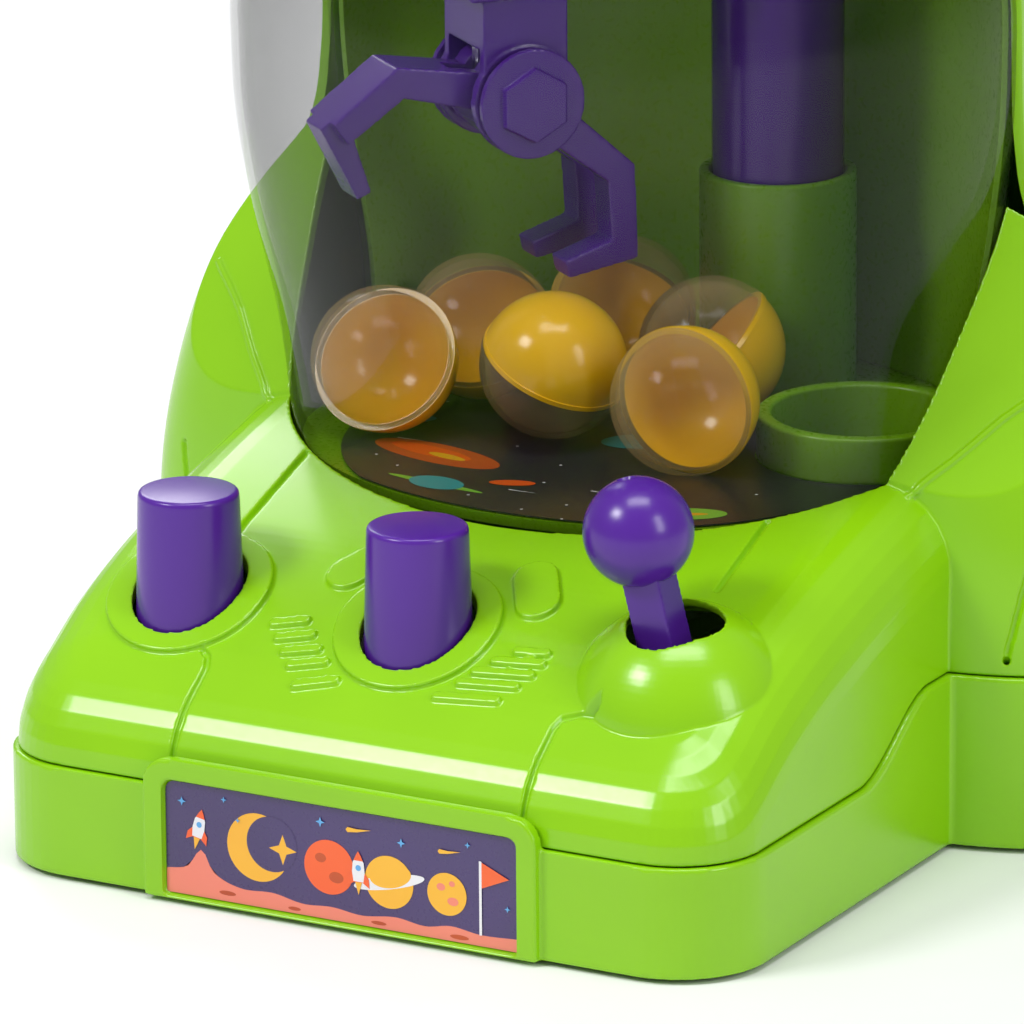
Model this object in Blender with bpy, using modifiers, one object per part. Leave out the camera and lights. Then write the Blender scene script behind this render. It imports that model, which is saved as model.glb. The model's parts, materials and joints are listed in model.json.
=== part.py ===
"""Toy claw crane machine, modelled as the separate pieces it comes apart into.

The row frame is metres with +Z up. The origin is on the table under the middle of
the bounding box, -Y is the front and +X is the joystick side.
Every length below is in millimetres. A place is written (x, depth, z): depth is
measured backwards from the front face of the skirt, and z from the table.
"""
import math

import bmesh
import bpy
from mathutils import Matrix, Vector

MM = 0.001
FRONT_TO_ORIGIN = 110.0   # depth of the origin

# --- driving dimensions ------------------------------------------------------
FIT_GAP = 0.3             # between pieces that touch
WALL = 2.4                # green shells
FRONT_HALF_WIDTH = 88.0
FRONT_CORNER_R = 20.0
DRUM_HALF_WIDTH = 119.0
SKIRT_BOTTOM = 1.0
SKIRT_TOP_FRONT = 24.7
SKIRT_TOP_REAR = 38.5
SKIRT_STEP = (64.0, 96.0)  # depths between which the skirt's top edge climbs
TRAY_FLOOR = (2.5, 4.5)
DECK_INSET = 1.2
DECK_EDGE_R = 20.0
JOINT_DEPTH = 142.7       # wings and dome meet the back shell here
BALL_CENTRE = (127.0, 168.0)  # depth and height of the dome's widest ring
DOME_R = 85.0
DOME_RISE = 95.0
DOME_WALL = 1.6
DOME_BOTTOM = 66.0
LID_SEAT_Z = 254.0
FLOOR_TOP = 71.0
FLOOR_THICK = 2.4
PANEL_HALF = 42.0         # the recess for the front sticker
PANEL_FRAME_HALF = 46.5
PANEL_FRAME_TOP = 31.5
PANEL_CORNER_R = 6.0
CAPSULE_R = 16.0

PLUNGER_DEPTH = 33.0
LEFT_PLUNGER_X = -55.0
CENTRE_PLUNGER_X = 0.0
PLUNGER_TOP = 78.5
PLUNGER_R = 11.5
JAW_PLUNGER_TRAVEL = 9.0
PLUNGER_FOOT = 35.7       # underside of a plunger's stem
STEM_R = 4.2
CUP_BOTTOM = 49.5
GUIDE_FLOOR = (36.2, 38.2)

MAST_X, MAST_DEPTH = 6.5, 182.5
MAST_R = 14.5
SOCKET_R = 17.2
SOCKET_TOP = 120.5
CHUTE_X, CHUTE_DEPTH = 48.0, 141.5
CHUTE_R = 22.7
CHUTE_BORE_R = 19.4
CHUTE_RIM = 81.5

BOOM_ANGLE = 232.5        # plan direction from mast to claw, degrees from +X
BOOM_REACH = 64.5
BOOM_Z = (168.0, 195.0)
LEVER_Z = 176.0           # pivot of the lever inside the boom
HUB_Z = 145.0
HUB_R = 12.0
JAW_OPEN_DEG = 52.0       # how far the moving jaw stands open
HORN_R = 7.0              # the horn on the jaw's knuckle that the drop rod pushes
DROP_X = HORN_R * math.cos(math.radians(JAW_OPEN_DEG / 2))
DROP_TRAVEL = 2 * HORN_R * math.sin(math.radians(JAW_OPEN_DEG / 2))
PUSH_ROD_R = 9.0          # distance of the push rod from the mast's axis

JOY_X, JOY_DEPTH, JOY_Z = 58.5, 36.0, 51.0
JOY_LEAN_DEG = 14.4       # the stick rests against its left stop
JOY_ARM = 42.0            # pivot down to the ball that drives the rack bar
JOY_BALL_REACH = 33.3
KNOB_R = 11.5
MAST_SWING_DEG = 70.0     # over the stick's whole travel of twice its lean
GEAR_TEETH = 20
RACK_Z = (6.5, 10.5)

AXLE_DEPTH, AXLE_Z = 92.8, 28.0
AXLE_R = 2.0
NOSE_R = 2.5              # rounded ends of the rocker arms
LIFT_ARM_X = (-6.5, -1.8)
JAW_ARM_X = (0.0, 5.0)
AXLE_POSTS = (LEFT_PLUNGER_X - 8.0, 12.7)   # left side of each post
FLANGE_Z = 23.3           # underside of the mast's lift flange
COLLAR_Z = 26.6           # underside of the push rod's collar
COLLAR_NOSE_DEPTH = 168.0

GREEN = (0.30, 0.62, 0.02)
PURPLE = (0.13, 0.03, 0.36)
YELLOW = (0.86, 0.50, 0.01)
STEEL = (0.60, 0.61, 0.63)


# --- scene and materials -----------------------------------------------------
for old in list(bpy.data.objects):
    bpy.data.objects.remove(old, do_unlink=True)
crane = bpy.data.collections.new("claw_crane_machine")
cutters = bpy.data.collections.new("cutters")
bpy.context.scene.collection.children.link(crane)
bpy.context.scene.collection.children.link(cutters)


def make_material(name, colour, roughness, metallic=0.0, alpha=1.0):
    mat = bpy.data.materials.new(name)
    mat.use_nodes = True
    shader = mat.node_tree.nodes["Principled BSDF"]
    shader.inputs["Base Color"].default_value = (*colour, 1.0)
    shader.inputs["Roughness"].default_value = roughness
    shader.inputs["Metallic"].default_value = metallic
    shader.inputs["Alpha"].default_value = alpha
    return mat


LOOKS = {
    "green": make_material("green_plastic", GREEN, 0.25),
    "purple": make_material("purple_plastic", PURPLE, 0.3),
    "yellow": make_material("yellow_plastic", YELLOW, 0.25),
    "clear": make_material("clear_plastic", (0.9, 0.9, 0.9), 0.05, alpha=0.25),
    "smoke": make_material("smoke_plastic", (0.55, 0.58, 0.52), 0.05, alpha=0.3),
    "steel": make_material("steel", STEEL, 0.3, metallic=1.0),
    "white": make_material("white_plastic", (0.75, 0.75, 0.72), 0.4),
    "rubber": make_material("black_rubber", (0.03, 0.03, 0.03), 0.8),
    "print": make_material("floor_print", (0.05, 0.05, 0.09), 0.35),
    "sticker": make_material("front_print", (0.08, 0.03, 0.20), 0.35),
}


# --- helpers -----------------------------------------------------------------
def at(x, depth, z):
    """A place in millimetres as a point of the row frame in metres."""
    return Vector((x, depth - FRONT_TO_ORIGIN, z)) * MM


def add(name, mesh, look=None):
    """Put a mesh in the scene as a part, or as a cutter when it has no look."""
    obj = bpy.data.objects.new(name, mesh)
    if look is None:
        cutters.objects.link(obj)
        obj.hide_render = True
        obj.display_type = "WIRE"
    else:
        crane.objects.link(obj)
        mesh.materials.append(LOOKS[look])
    return obj


def as_part(obj, look):
    """Make a part of an object that was built as a form."""
    cutters.objects.unlink(obj)
    crane.objects.link(obj)
    obj.hide_render = False
    obj.display_type = "TEXTURED"
    obj.data.materials.append(LOOKS[look])
    return obj


def finish_mesh(bm, name):
    bmesh.ops.recalc_face_normals(bm, faces=bm.faces[:])
    mesh = bpy.data.meshes.new(name)
    bm.to_mesh(mesh)
    bm.free()
    return mesh


def smooth(obj, angle=32):
    obj.data.shade_smooth()
    obj.data.set_sharp_from_angle(angle=math.radians(angle))
    return obj


def box(name, low, high, look=None):
    """A box between two corners given as (x, depth, z)."""
    bm = bmesh.new()
    bmesh.ops.create_cube(bm, size=1.0)
    a, b = at(*low), at(*high)
    bmesh.ops.scale(bm, vec=b - a, verts=bm.verts)
    bmesh.ops.translate(bm, vec=(a + b) / 2, verts=bm.verts)
    return add(name, finish_mesh(bm, name), look)


def cylinder(name, r, base, height, look=None, r_top=None, sides=24, axis="Z"):
    """A cylinder or cone from its base centre along +Z, +X or +Y."""
    bm = bmesh.new()
    bmesh.ops.create_cone(bm, cap_ends=True, segments=sides, radius1=r * MM,
                          radius2=(r if r_top is None else r_top) * MM, depth=height * MM)
    bmesh.ops.translate(bm, vec=(0, 0, height * MM / 2), verts=bm.verts)
    if axis == "X":
        bmesh.ops.rotate(bm, matrix=Matrix.Rotation(math.pi / 2, 3, "Y"), verts=bm.verts)
    if axis == "Y":
        bmesh.ops.rotate(bm, matrix=Matrix.Rotation(-math.pi / 2, 3, "X"), verts=bm.verts)
    bmesh.ops.translate(bm, vec=at(*base), verts=bm.verts)
    return add(name, finish_mesh(bm, name), look)


def sphere(name, r, centre, look=None, u=20, v=12):
    bm = bmesh.new()
    bmesh.ops.create_uvsphere(bm, u_segments=u, v_segments=v, radius=r * MM)
    bmesh.ops.translate(bm, vec=at(*centre), verts=bm.verts)
    return add(name, finish_mesh(bm, name), look)


def turned(name, profile, centre, look=None, steps=28):
    """Turn an outline of (radius, z) points, outer side first, about a vertical line."""
    bm = bmesh.new()
    verts = [bm.verts.new((r * MM, 0, z * MM)) for r, z in profile]
    on_axis = profile[0][0] == 0 and profile[-1][0] == 0
    for a, b in zip(verts, verts[1:] if on_axis else verts[1:] + verts[:1]):
        bm.edges.new((a, b))
    mesh = bpy.data.meshes.new(name)
    bm.to_mesh(mesh)
    bm.free()
    obj = add(name, mesh, look)
    obj.location = at(centre[0], centre[1], 0)
    screw = obj.modifiers.new("turn", "SCREW")
    screw.steps = screw.render_steps = steps
    screw.use_merge_vertices = True
    screw.merge_threshold = 0.00001
    screw.use_smooth_shade = True
    return obj


def loft(name, loops, look=None):
    """A closed solid through loops of (x, depth, z) points of one length."""
    bm = bmesh.new()
    rings = [[bm.verts.new(at(*p)) for p in loop] for loop in loops]
    for low, high in zip(rings, rings[1:]):
        n = len(low)
        for i in range(n):
            bm.faces.new((low[i], low[(i + 1) % n], high[(i + 1) % n], high[i]))
    bm.faces.new(rings[0][::-1])
    bm.faces.new(rings[-1])
    return add(name, finish_mesh(bm, name), look)


def prism(name, outline, span, look=None, plane="XZ"):
    """An outline extruded across span: XZ goes along depth, DZ along x, XD along z."""
    def place(p, s):
        if plane == "XZ":
            return (p[0], s, p[1])
        if plane == "DZ":
            return (s, p[0], p[1])
        return (p[0], p[1], s)
    return loft(name, [[place(p, s) for p in outline] for s in span], look)


def boolean(target, tool, operation="DIFFERENCE"):
    mod = target.modifiers.new(tool.name, "BOOLEAN")
    mod.operation = operation
    mod.object = tool
    mod.solver = "EXACT"
    return target


def cut(target, *tools):
    for tool in tools:
        boolean(target, tool)
    return target


def join(target, *tools):
    for tool in tools:
        boolean(target, tool, "UNION")
    return target


def turn_about(obj, point, axis, degrees):
    """Turn an object about a line through a place given as (x, depth, z)."""
    centre = at(*point)
    spin = Matrix.Translation(centre) @ Matrix.Rotation(math.radians(degrees), 4, axis)
    obj.matrix_world = spin @ Matrix.Translation(-centre) @ obj.matrix_world
    return obj


def blend(pairs, x):
    """Straight interpolation in a rising list of (x, value, ...) rows."""
    for low, high in zip(pairs, pairs[1:]):
        if x <= high[0]:
            break
    t = min(1.0, max(0.0, (x - low[0]) / (high[0] - low[0])))
    return [a + (b - a) * t for a, b in zip(low[1:], high[1:])]


# --- the three big forms -----------------------------------------------------
# Height of the deck's top surface against depth.
DECK_TOP = [(0, 44.2), (12, 45.0), (20, 48.8), (33, 56.6), (48, 63.2), (63, 68.0),
            (82, 73.2), (105, 78.5), (125, 82.5)]
DECK_SLICES = (8, 14, 20, 26, 33, 40, 48, 56, 63, 72, 82, 93)

# Rear drum: z, half width, centre depth, front reach and its squareness, back reach and its.
DRUM_LEVELS = [
    (30.0, 117.8, 148.0, 46.0, 4.5, 72.8, 3.4),
    (50.0, 117.4, 148.0, 46.0, 4.4, 72.6, 3.4),
    (63.0, 116.4, 148.0, 45.7, 4.2, 72.4, 3.3),
    (76.0, 114.2, 147.5, 44.6, 3.9, 72.0, 3.2),
    (89.0, 110.6, 146.0, 42.5, 3.6, 72.4, 3.1),
    (102.0, 105.6, 144.0, 40.2, 3.2, 73.0, 2.9),
    (116.0, 97.4, 139.0, 36.0, 2.8, 76.4, 2.6),
    (130.0, 88.6, 133.0, 40.0, 2.3, 81.4, 2.3),
    (146.0, 86.2, 129.0, 60.0, 2.0, 85.6, 2.1),
    (168.0, 86.0, 127.0, 86.0, 2.0, 88.0, 2.0),
]
# Dome: z, half width, front reach.
DOME_LEVELS = [(40.0, 76.0, 59.0), (66.0, 76.4, 59.6), (74.0, 76.6, 61.2), (88.0, 77.0, 65.4),
               (103.0, 78.2, 70.2), (125.0, 81.8, 77.6), (148.0, 84.4, 83.8),
               (168.0, 85.0, 85.0)]
CROWN_ANGLES = (15, 30, 44, 57, 68, 76)


def super_loop(z, half, centre, front, front_power, back, back_power, count=36):
    """A closed egg-shaped loop at one height, squarer for a higher power."""
    loop = []
    for i in range(count):
        t = 2 * math.pi * i / count
        reach, power = (back, back_power) if math.sin(t) > 0 else (front, front_power)
        c, s = math.cos(t), math.sin(t)
        x = half * math.copysign(abs(c) ** (2 / power), c)
        d = centre + reach * math.copysign(abs(s) ** (2 / power), s)
        loop.append((x, d, z))
    return loop


def crown(angle, shrink):
    """Height and shrink factor of a ring on the ball's upper half."""
    a = math.radians(angle)
    return BALL_CENTRE[1] + (DOME_RISE - shrink) * math.sin(a), math.cos(a)


def drum_form(name, inset, low_z, high_z=None):
    """The rear drum and back shell as one solid, drawn in by inset all round."""
    rows = [(low_z, *blend(DRUM_LEVELS, low_z))]
    rows += [row for row in DRUM_LEVELS if row[0] > low_z + 1]
    if high_z is not None:
        rows = [row for row in rows if row[0] < high_z - 1]
        rows.append((high_z, *blend(DRUM_LEVELS, high_z)))
    loops = [super_loop(z, w - inset, c, f - inset, fp, b - inset, bp)
             for z, w, c, f, fp, b, bp in rows]
    if high_z is None:
        top = DRUM_LEVELS[-1]
        for angle in CROWN_ANGLES:
            z, k = crown(angle, inset)
            loops.append(super_loop(z, (top[1] - inset) * k, top[2], (top[3] - inset) * k, 2.0,
                                    (top[5] - inset) * k, 2.0))
    return loft(name, loops)


def dome_form(name, inset, low_z):
    """The clear bubble as one solid, drawn in by inset all round."""
    rows = [(low_z, *blend(DOME_LEVELS, low_z))]
    rows += [row for row in DOME_LEVELS if row[0] > low_z + 1]
    loops = [super_loop(z, a - inset, BALL_CENTRE[0], b - inset, 2.0, DOME_R - inset, 2.0)
             for z, a, b in rows]
    for angle in CROWN_ANGLES:
        z, k = crown(angle, inset)
        r = (DOME_R - inset) * k
        loops.append(super_loop(z, r, BALL_CENTRE[0], r, 2.0, r, 2.0))
    return loft(name, loops)


def front_block(name, inset, low_z, top_z, back):
    """The front part's rounded block up to a level top."""
    bm = bmesh.new()
    bmesh.ops.create_cube(bm, size=1.0)
    half = FRONT_HALF_WIDTH - inset
    a, b = at(-half, inset, low_z), at(half, back, top_z)
    bmesh.ops.scale(bm, vec=b - a, verts=bm.verts)
    bmesh.ops.translate(bm, vec=(a + b) / 2, verts=bm.verts)
    upright = [e for e in bm.edges if abs(e.verts[0].co.z - e.verts[1].co.z) > 0.001
               and e.verts[0].co.y < a.y + 0.001]
    bmesh.ops.bevel(bm, geom=upright, offset=(FRONT_CORNER_R - inset) * MM, segments=6,
                    profile=0.5, affect="EDGES")
    return bm, half, b


def deck_form(name, inset, low_z):
    """The sloping console block, drawn in by inset from its walls and its top."""
    level = DECK_TOP[0][1] - inset
    bm, half, corner = front_block(name, DECK_INSET + inset, low_z, level, 125.0 + inset)
    rim = [e for e in bm.edges if min(v.co.z for v in e.verts) > corner.z - 1e-5
           and not all(v.co.y > corner.y - 1e-5 for v in e.verts)]
    bmesh.ops.bevel(bm, geom=rim, offset=(DECK_EDGE_R - inset - DECK_INSET) * MM, segments=4,
                    profile=0.5, affect="EDGES", clamp_overlap=True)
    bmesh.ops.remove_doubles(bm, verts=bm.verts[:], dist=0.05 * MM)
    for depth in DECK_SLICES:
        bmesh.ops.bisect_plane(bm, geom=bm.verts[:] + bm.edges[:] + bm.faces[:], dist=1e-6,
                               plane_co=at(0, depth, 0), plane_no=(0, 1, 0))
    for vert in bm.verts:
        if vert.co.z > (low_z + 0.1) * MM:
            depth = vert.co.y / MM + FRONT_TO_ORIGIN
            vert.co.z += (blend(DECK_TOP, depth)[0] - DECK_TOP[0][1]) * MM
    return add(name, finish_mesh(bm, name))


def deck_height(depth):
    return blend(DECK_TOP, depth)[0]


def skirt_step(offset):
    """The S-curve of the skirt's top edge, as (depth, z) points."""
    start, end = SKIRT_STEP
    rise = SKIRT_TOP_REAR - SKIRT_TOP_FRONT
    points = []
    for i in range(9):
        t = i / 8
        ease = t * t * (3 - 2 * t)
        points.append((start + (end - start) * t, SKIRT_TOP_FRONT + rise * ease + offset))
    return points


OUTLET_DEPTH = (122.5, 160.5)
OUTLET_Z = (6.6, 45.0)
DOOR_AXIS = (113.3, 42.0)   # x and height of the prize door's hinge
LID_AXIS = (167.5, 258.0)   # depth and height of the lid's hinge
SCREW_R = 1.5
POST_R = 4.5
FRONT_POST = (80.0, 60.0)
FRONT_POST_DROP = 10.9      # its top is this far under the middle of the deck
REAR_POST = (109.3, 180.0)
SCREW_PLACES = [(side * x, depth) for x, depth in (FRONT_POST, REAR_POST) for side in (-1, 1)]

FACET_POINT = (79.0, 105.0, 76.0)
FACET_NORMAL = Vector((316.0, -1220.0, 822.0)).normalized()


def facet_cutter(name, side, lower):
    """A slab that takes off everything in front of a wing's flat upper facet."""
    slab = box(name, (-150, 110 - 150, 0), (150, 110 + 150, 120))
    normal = Vector((FACET_NORMAL.x * side, FACET_NORMAL.y, FACET_NORMAL.z))
    point = at(FACET_POINT[0] * side, FACET_POINT[1], FACET_POINT[2]) - normal * lower * MM
    slab.matrix_world = Matrix.Translation(point) @ normal.to_track_quat("Z", "Y").to_matrix().to_4x4()
    return slab


def wing_form(name, inset, low_z):
    form = drum_form(name, inset, low_z, high_z=134.0 + inset)
    for side in (-1, 1):
        cut(form, facet_cutter(name + "_facet_%d" % side, side, inset))
    return form


# --- base tray ---------------------------------------------------------------
def arch_outline(half, top, corner_r):
    """A panel's outline seen from the front: square below, round corners above."""
    outline = [(-half, SKIRT_BOTTOM), (half, SKIRT_BOTTOM)]
    for side, start in ((1, 0), (-1, 90)):
        for angle in range(start, start + 91, 30):
            a = math.radians(angle)
            outline.append((side * (half - corner_r) + corner_r * math.cos(a),
                            top - corner_r + corner_r * math.sin(a)))
    return outline


def build_base_tray():
    bm, _, _ = front_block("base_tray", 0.0, SKIRT_BOTTOM, SKIRT_TOP_REAR, 140.0)
    tray = add("base_tray", finish_mesh(bm, "base_tray"), "green")
    step = [(-20, 80), (-20, SKIRT_TOP_FRONT)] + skirt_step(0) + [(150, SKIRT_TOP_REAR), (150, 80)]
    cut(tray, prism("skirt_step_cutter", step, (-100, 100), plane="DZ"))

    def drum_outline(inset, low, high):
        z, w, c, f, fp, b, bp = DRUM_LEVELS[0]
        grow = DRUM_HALF_WIDTH - w - inset
        return [super_loop(h, w + grow, c, f + grow - 0.2, fp, b + grow, bp) for h in (low, high)]

    drum = loft("tray_drum", drum_outline(0, SKIRT_BOTTOM, SKIRT_TOP_REAR))
    frame = prism("panel_frame", arch_outline(PANEL_FRAME_HALF, PANEL_FRAME_TOP, PANEL_CORNER_R),
                  (-2.0, 0.9))
    rounding = frame.modifiers.new("corners", "BEVEL")
    rounding.width = 1.2 * MM
    rounding.segments = 2
    join(tray, drum, frame)
    for label, low, high in (("room", TRAY_FLOOR[1], 60.0), ("recess", -1.0, TRAY_FLOOR[0])):
        bm, _, _ = front_block("front_" + label, WALL, low, high, 140.0)
        cut(tray, add("front_" + label, finish_mesh(bm, "front_" + label)),
            loft("drum_" + label, drum_outline(WALL, low, high)))
    cut(tray, box("panel_recess", (-PANEL_HALF, -4, 1.8), (PANEL_HALF, -0.1, 27.0)))
    cut(tray, box("tray_outlet", (100, OUTLET_DEPTH[0], OUTLET_Z[0]), (130, OUTLET_DEPTH[1], 60)))
    floor = TRAY_FLOOR[0]
    for x in AXLE_POSTS:
        join(tray, box("axle_post", (x, AXLE_DEPTH - 5, floor), (x + 3, AXLE_DEPTH + 5, AXLE_Z + 5)))
        cut(tray, cylinder("post_bore", AXLE_R + FIT_GAP, (x - 2, AXLE_DEPTH, AXLE_Z), 7, sides=16,
                           axis="X"))
    near = RACK_BACK + FIT_GAP
    join(tray, box("rack_rail", (-32, near, floor), (52, near + 3, 13)),
         box("rail_lip", (-32, near - 3, RACK_Z[1] + FIT_GAP), (52, near + 1, 13)))
    for x, depth in SCREW_PLACES:
        cut(tray, cylinder("screw_hole", SCREW_R + FIT_GAP, (x, depth, 0), 10, sides=8))
    return smooth(tray)


# --- control deck with its two wings -----------------------------------------
def build_control_deck():
    deck = as_part(deck_form("control_deck", 0.0, SKIRT_TOP_FRONT + FIT_GAP), "green")
    join(deck, wing_form("wing_outer", 0.0, SKIRT_TOP_REAR + FIT_GAP))
    lean = math.degrees(math.atan(0.53))
    for x in (LEFT_PLUNGER_X, CENTRE_PLUNGER_X):
        collar = cylinder("plunger_collar", 18.2, (x, PLUNGER_DEPTH, deck_height(PLUNGER_DEPTH) - 9),
                          18, sides=24)
        turn_about(collar, (x, PLUNGER_DEPTH, deck_height(PLUNGER_DEPTH)), "X", lean)
        boolean(collar, deck_form("raised_deck", -1.0, SKIRT_TOP_FRONT + FIT_GAP), "INTERSECT")
        join(deck, collar)
    join(deck, sphere("stick_mound", 24.3, (JOY_X, 39.8, 44.3), u=24, v=14))
    lowest = SKIRT_TOP_FRONT
    cut(deck, deck_form("deck_inner", WALL - 0.2, lowest - 20),
        wing_form("wing_inner", WALL, lowest - 10),
        sphere("mound_inner", 22.2, (JOY_X, 39.8, 44.3), u=16, v=10),
        dome_form("dome_seat", -FIT_GAP, 40.0))
    below = [(-30, 0), (-30, SKIRT_TOP_FRONT + FIT_GAP)] + skirt_step(FIT_GAP)
    below += [(125, SKIRT_TOP_REAR + FIT_GAP), (125, 0)]
    cut(deck, prism("under_skirt", below, (-100, 100), plane="DZ"))
    for x in (LEFT_PLUNGER_X, CENTRE_PLUNGER_X):
        cut(deck, cylinder("plunger_hole", 12.2, (x, PLUNGER_DEPTH, 30), 50, sides=24))
    cut(deck, cylinder("stick_hole", 10.3, (JOY_X, 35.5, 40), 50, sides=24),
        box("behind_joint", (-150, JOINT_DEPTH - FIT_GAP / 2, 0), (150, 260, 300)),
        outlet_cutter("deck_outlet"))
    for side in (-1, 1):
        x, depth = side * FRONT_POST[0], FRONT_POST[1]
        foot = TRAY_FLOOR[1] + FIT_GAP
        join(deck, cylinder("front_post", POST_R, (x, depth, foot),
                            deck_height(depth) - FRONT_POST_DROP - foot, sides=10))
        cut(deck, cylinder("front_post_hole", SCREW_R + FIT_GAP, (x, depth, 0), 18, sides=8))
    return smooth(door_ear(deck, OUTLET_DEPTH[0] - 3.5))


def outlet_cutter(name):
    return box(name, (100, OUTLET_DEPTH[0], 30), (130, OUTLET_DEPTH[1], OUTLET_Z[1]))


def door_ear(shell, depth):
    """A lug inside a shell wall that holds one end of the prize door's pin."""
    x, z = DOOR_AXIS
    join(shell, box("door_ear", (x - 2.7, depth, z - 2.9), (x + 2.2, depth + 3.5, z + 2.9)))
    return cut(shell, door_bore("door_ear_bore"))


def door_bore(name):
    x, z = DOOR_AXIS
    return cylinder(name, 1.4, (x, OUTLET_DEPTH[0] - 5, z), 48, sides=12, axis="Y")


def build_back_shell():
    shell = as_part(drum_form("back_shell", 0.0, SKIRT_TOP_REAR + FIT_GAP), "green")
    cut(shell, drum_form("back_inner", WALL, SKIRT_TOP_REAR - 10),
        box("before_joint", (-150, -50, 0), (150, JOINT_DEPTH + FIT_GAP / 2, 300)),
        box("above_lid_seat", (-150, 0, LID_SEAT_Z), (150, 260, 300)),
        outlet_cutter("back_outlet"))
    for side in (-1, 1):
        x, depth = side * REAR_POST[0], REAR_POST[1]
        join(shell, cylinder("rear_post", POST_R, (x, depth, TRAY_FLOOR[1] + FIT_GAP), 55, sides=10),
             box("lid_lug", (side * 6.5, 164.2, 244), (side * 10.0, 171.0, 261.0)))
        cut(shell, cylinder("rear_post_hole", SCREW_R + FIT_GAP, (x, depth, 0), 18, sides=8))
    cut(shell, cylinder("lid_pin_hole", 1.4, (-12, *LID_AXIS), 24, sides=12, axis="X"))
    return smooth(door_ear(shell, OUTLET_DEPTH[1]))


def build_dome():
    dome = as_part(dome_form("clear_dome", 0.0, DOME_BOTTOM), "smoke")
    cut(dome, dome_form("dome_inner", DOME_WALL, DOME_BOTTOM - 20),
        box("behind_dome", (-150, JOINT_DEPTH - FIT_GAP / 2, 0), (150, 260, 300)),
        box("above_dome", (-150, 0, LID_SEAT_Z), (150, 260, 300)))
    return smooth(dome)


def build_filler_lid():
    """Round lid over the opening where dome and back shell meet at the top."""
    z = LID_SEAT_Z + FIT_GAP
    outline = [(0, z + 9.0), (14, z + 8.4), (25, z + 6.0), (33, z + 2.6), (36.3, z), (25.0, z),
               (25.0, z - 3.3), (23.0, z - 3.3), (23.0, z + 1.2), (0, z + 6.0)]
    lid = turned("filler_lid", outline, (0, BALL_CENTRE[0]), "green", steps=32)
    tongue = box("lid_tongue", (-6, 156, z), (6, LID_AXIS[0], z + 3.4))
    knuckle = cylinder("lid_knuckle", 3.0, (-6, *LID_AXIS), 12, sides=16, axis="X")
    join(lid, tongue, knuckle)
    cut(lid, cylinder("lid_bore", 1.4, (-8, *LID_AXIS), 16, sides=12, axis="X"))
    cylinder("lid_hinge_pin", 1.1, (-9.8, *LID_AXIS), 19.6, "steel", sides=12, axis="X")
    return lid


# --- play area ---------------------------------------------------------------
def slab(name, low, high):
    return box(name, (-150, -50, low), (150, 300, high))


def build_play_area():
    floor = as_part(dome_form("playfield_floor", DOME_WALL + 0.4, 60.0), "green")
    boolean(floor, slab("floor_level", FLOOR_TOP - FLOOR_THICK, FLOOR_TOP), "INTERSECT")
    cut(floor, cylinder("chute_hole", CHUTE_BORE_R + 1.6, (CHUTE_X, CHUTE_DEPTH, 50), 40, sides=32),
        cylinder("mast_hole", 12.6, (MAST_X, MAST_DEPTH, 50), 40, sides=32))

    low = FLOOR_TOP + FIT_GAP
    decal = cylinder("floor_decal", 62.0, (0, 125.7, low), 0.3, "print", sides=64)
    boolean(decal, dome_form("decal_edge", DOME_WALL + 0.8, 60.0), "INTERSECT")
    cut(decal, cylinder("decal_chute", CHUTE_R + FIT_GAP, (CHUTE_X, CHUTE_DEPTH, 60), 40, sides=32),
        cylinder("decal_mast", SOCKET_R + FIT_GAP, (MAST_X, MAST_DEPTH, 60), 40, sides=32))

    liner = as_part(dome_form("play_area_liner", 2.2, low), "green")
    cut(liner, dome_form("liner_inner", 3.5, low - 10),
        box("before_liner", (-150, -50, 0), (150, JOINT_DEPTH + 0.6, 300)),
        slab("above_liner", 238.0, 300.0))
    smooth(liner)

    rim = CHUTE_RIM
    turned("chute_ring", [(CHUTE_R - 0.6, rim), (CHUTE_R, rim - 0.8), (CHUTE_R, low),
                          (CHUTE_BORE_R + 1.3, low), (CHUTE_BORE_R + 1.3, 60), (CHUTE_BORE_R, 60),
                          (CHUTE_BORE_R, rim - 0.6), (CHUTE_BORE_R + 0.6, rim)],
           (CHUTE_X, CHUTE_DEPTH), "green", steps=24)
    turned("mast_socket", [(SOCKET_R - 0.5, SOCKET_TOP), (SOCKET_R, SOCKET_TOP - 0.7),
                           (SOCKET_R, low), (12.6, low), (12.6, low + 2), (MAST_R + 0.4, low + 2),
                           (MAST_R + 0.4, SOCKET_TOP)],
           (MAST_X, MAST_DEPTH), "green", steps=24)


def build_prize_outlet():
    """The ramp under the chute and the flap it empties through."""
    d0, d1 = OUTLET_DEPTH
    ramp = prism("chute_ramp", [(22.5, 59.5), (22.5, 50), (106, 5.0), (107.2, 5.0), (107.2, 44.5),
                                (75, 59.5)], (d0 - 1.7, d1 + 1.7), "green")
    cut(ramp, prism("ramp_inside", [(24.3, 70), (24.3, 51.4), (106.4, 6.9), (120, 6.9), (120, 70)],
                    (d0 - 0.1, d1 + 0.1)))
    x, z = DOOR_AXIS
    door = box("prize_door", (x - 1.1, d0 + 0.5, OUTLET_Z[0] + 0.6), (x + 1.1, d1 - 0.5, z), "green")
    join(door, cylinder("door_knuckle", 2.3, (x, d0 + 0.5, z), d1 - d0 - 1, sides=16, axis="Y"))
    cut(door, door_bore("door_bore"))
    smooth(door)
    cylinder("prize_door_pin", 1.1, (x, d0 - 2.5, z), d1 - d0 + 5, "steel", sides=12, axis="Y")


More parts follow.
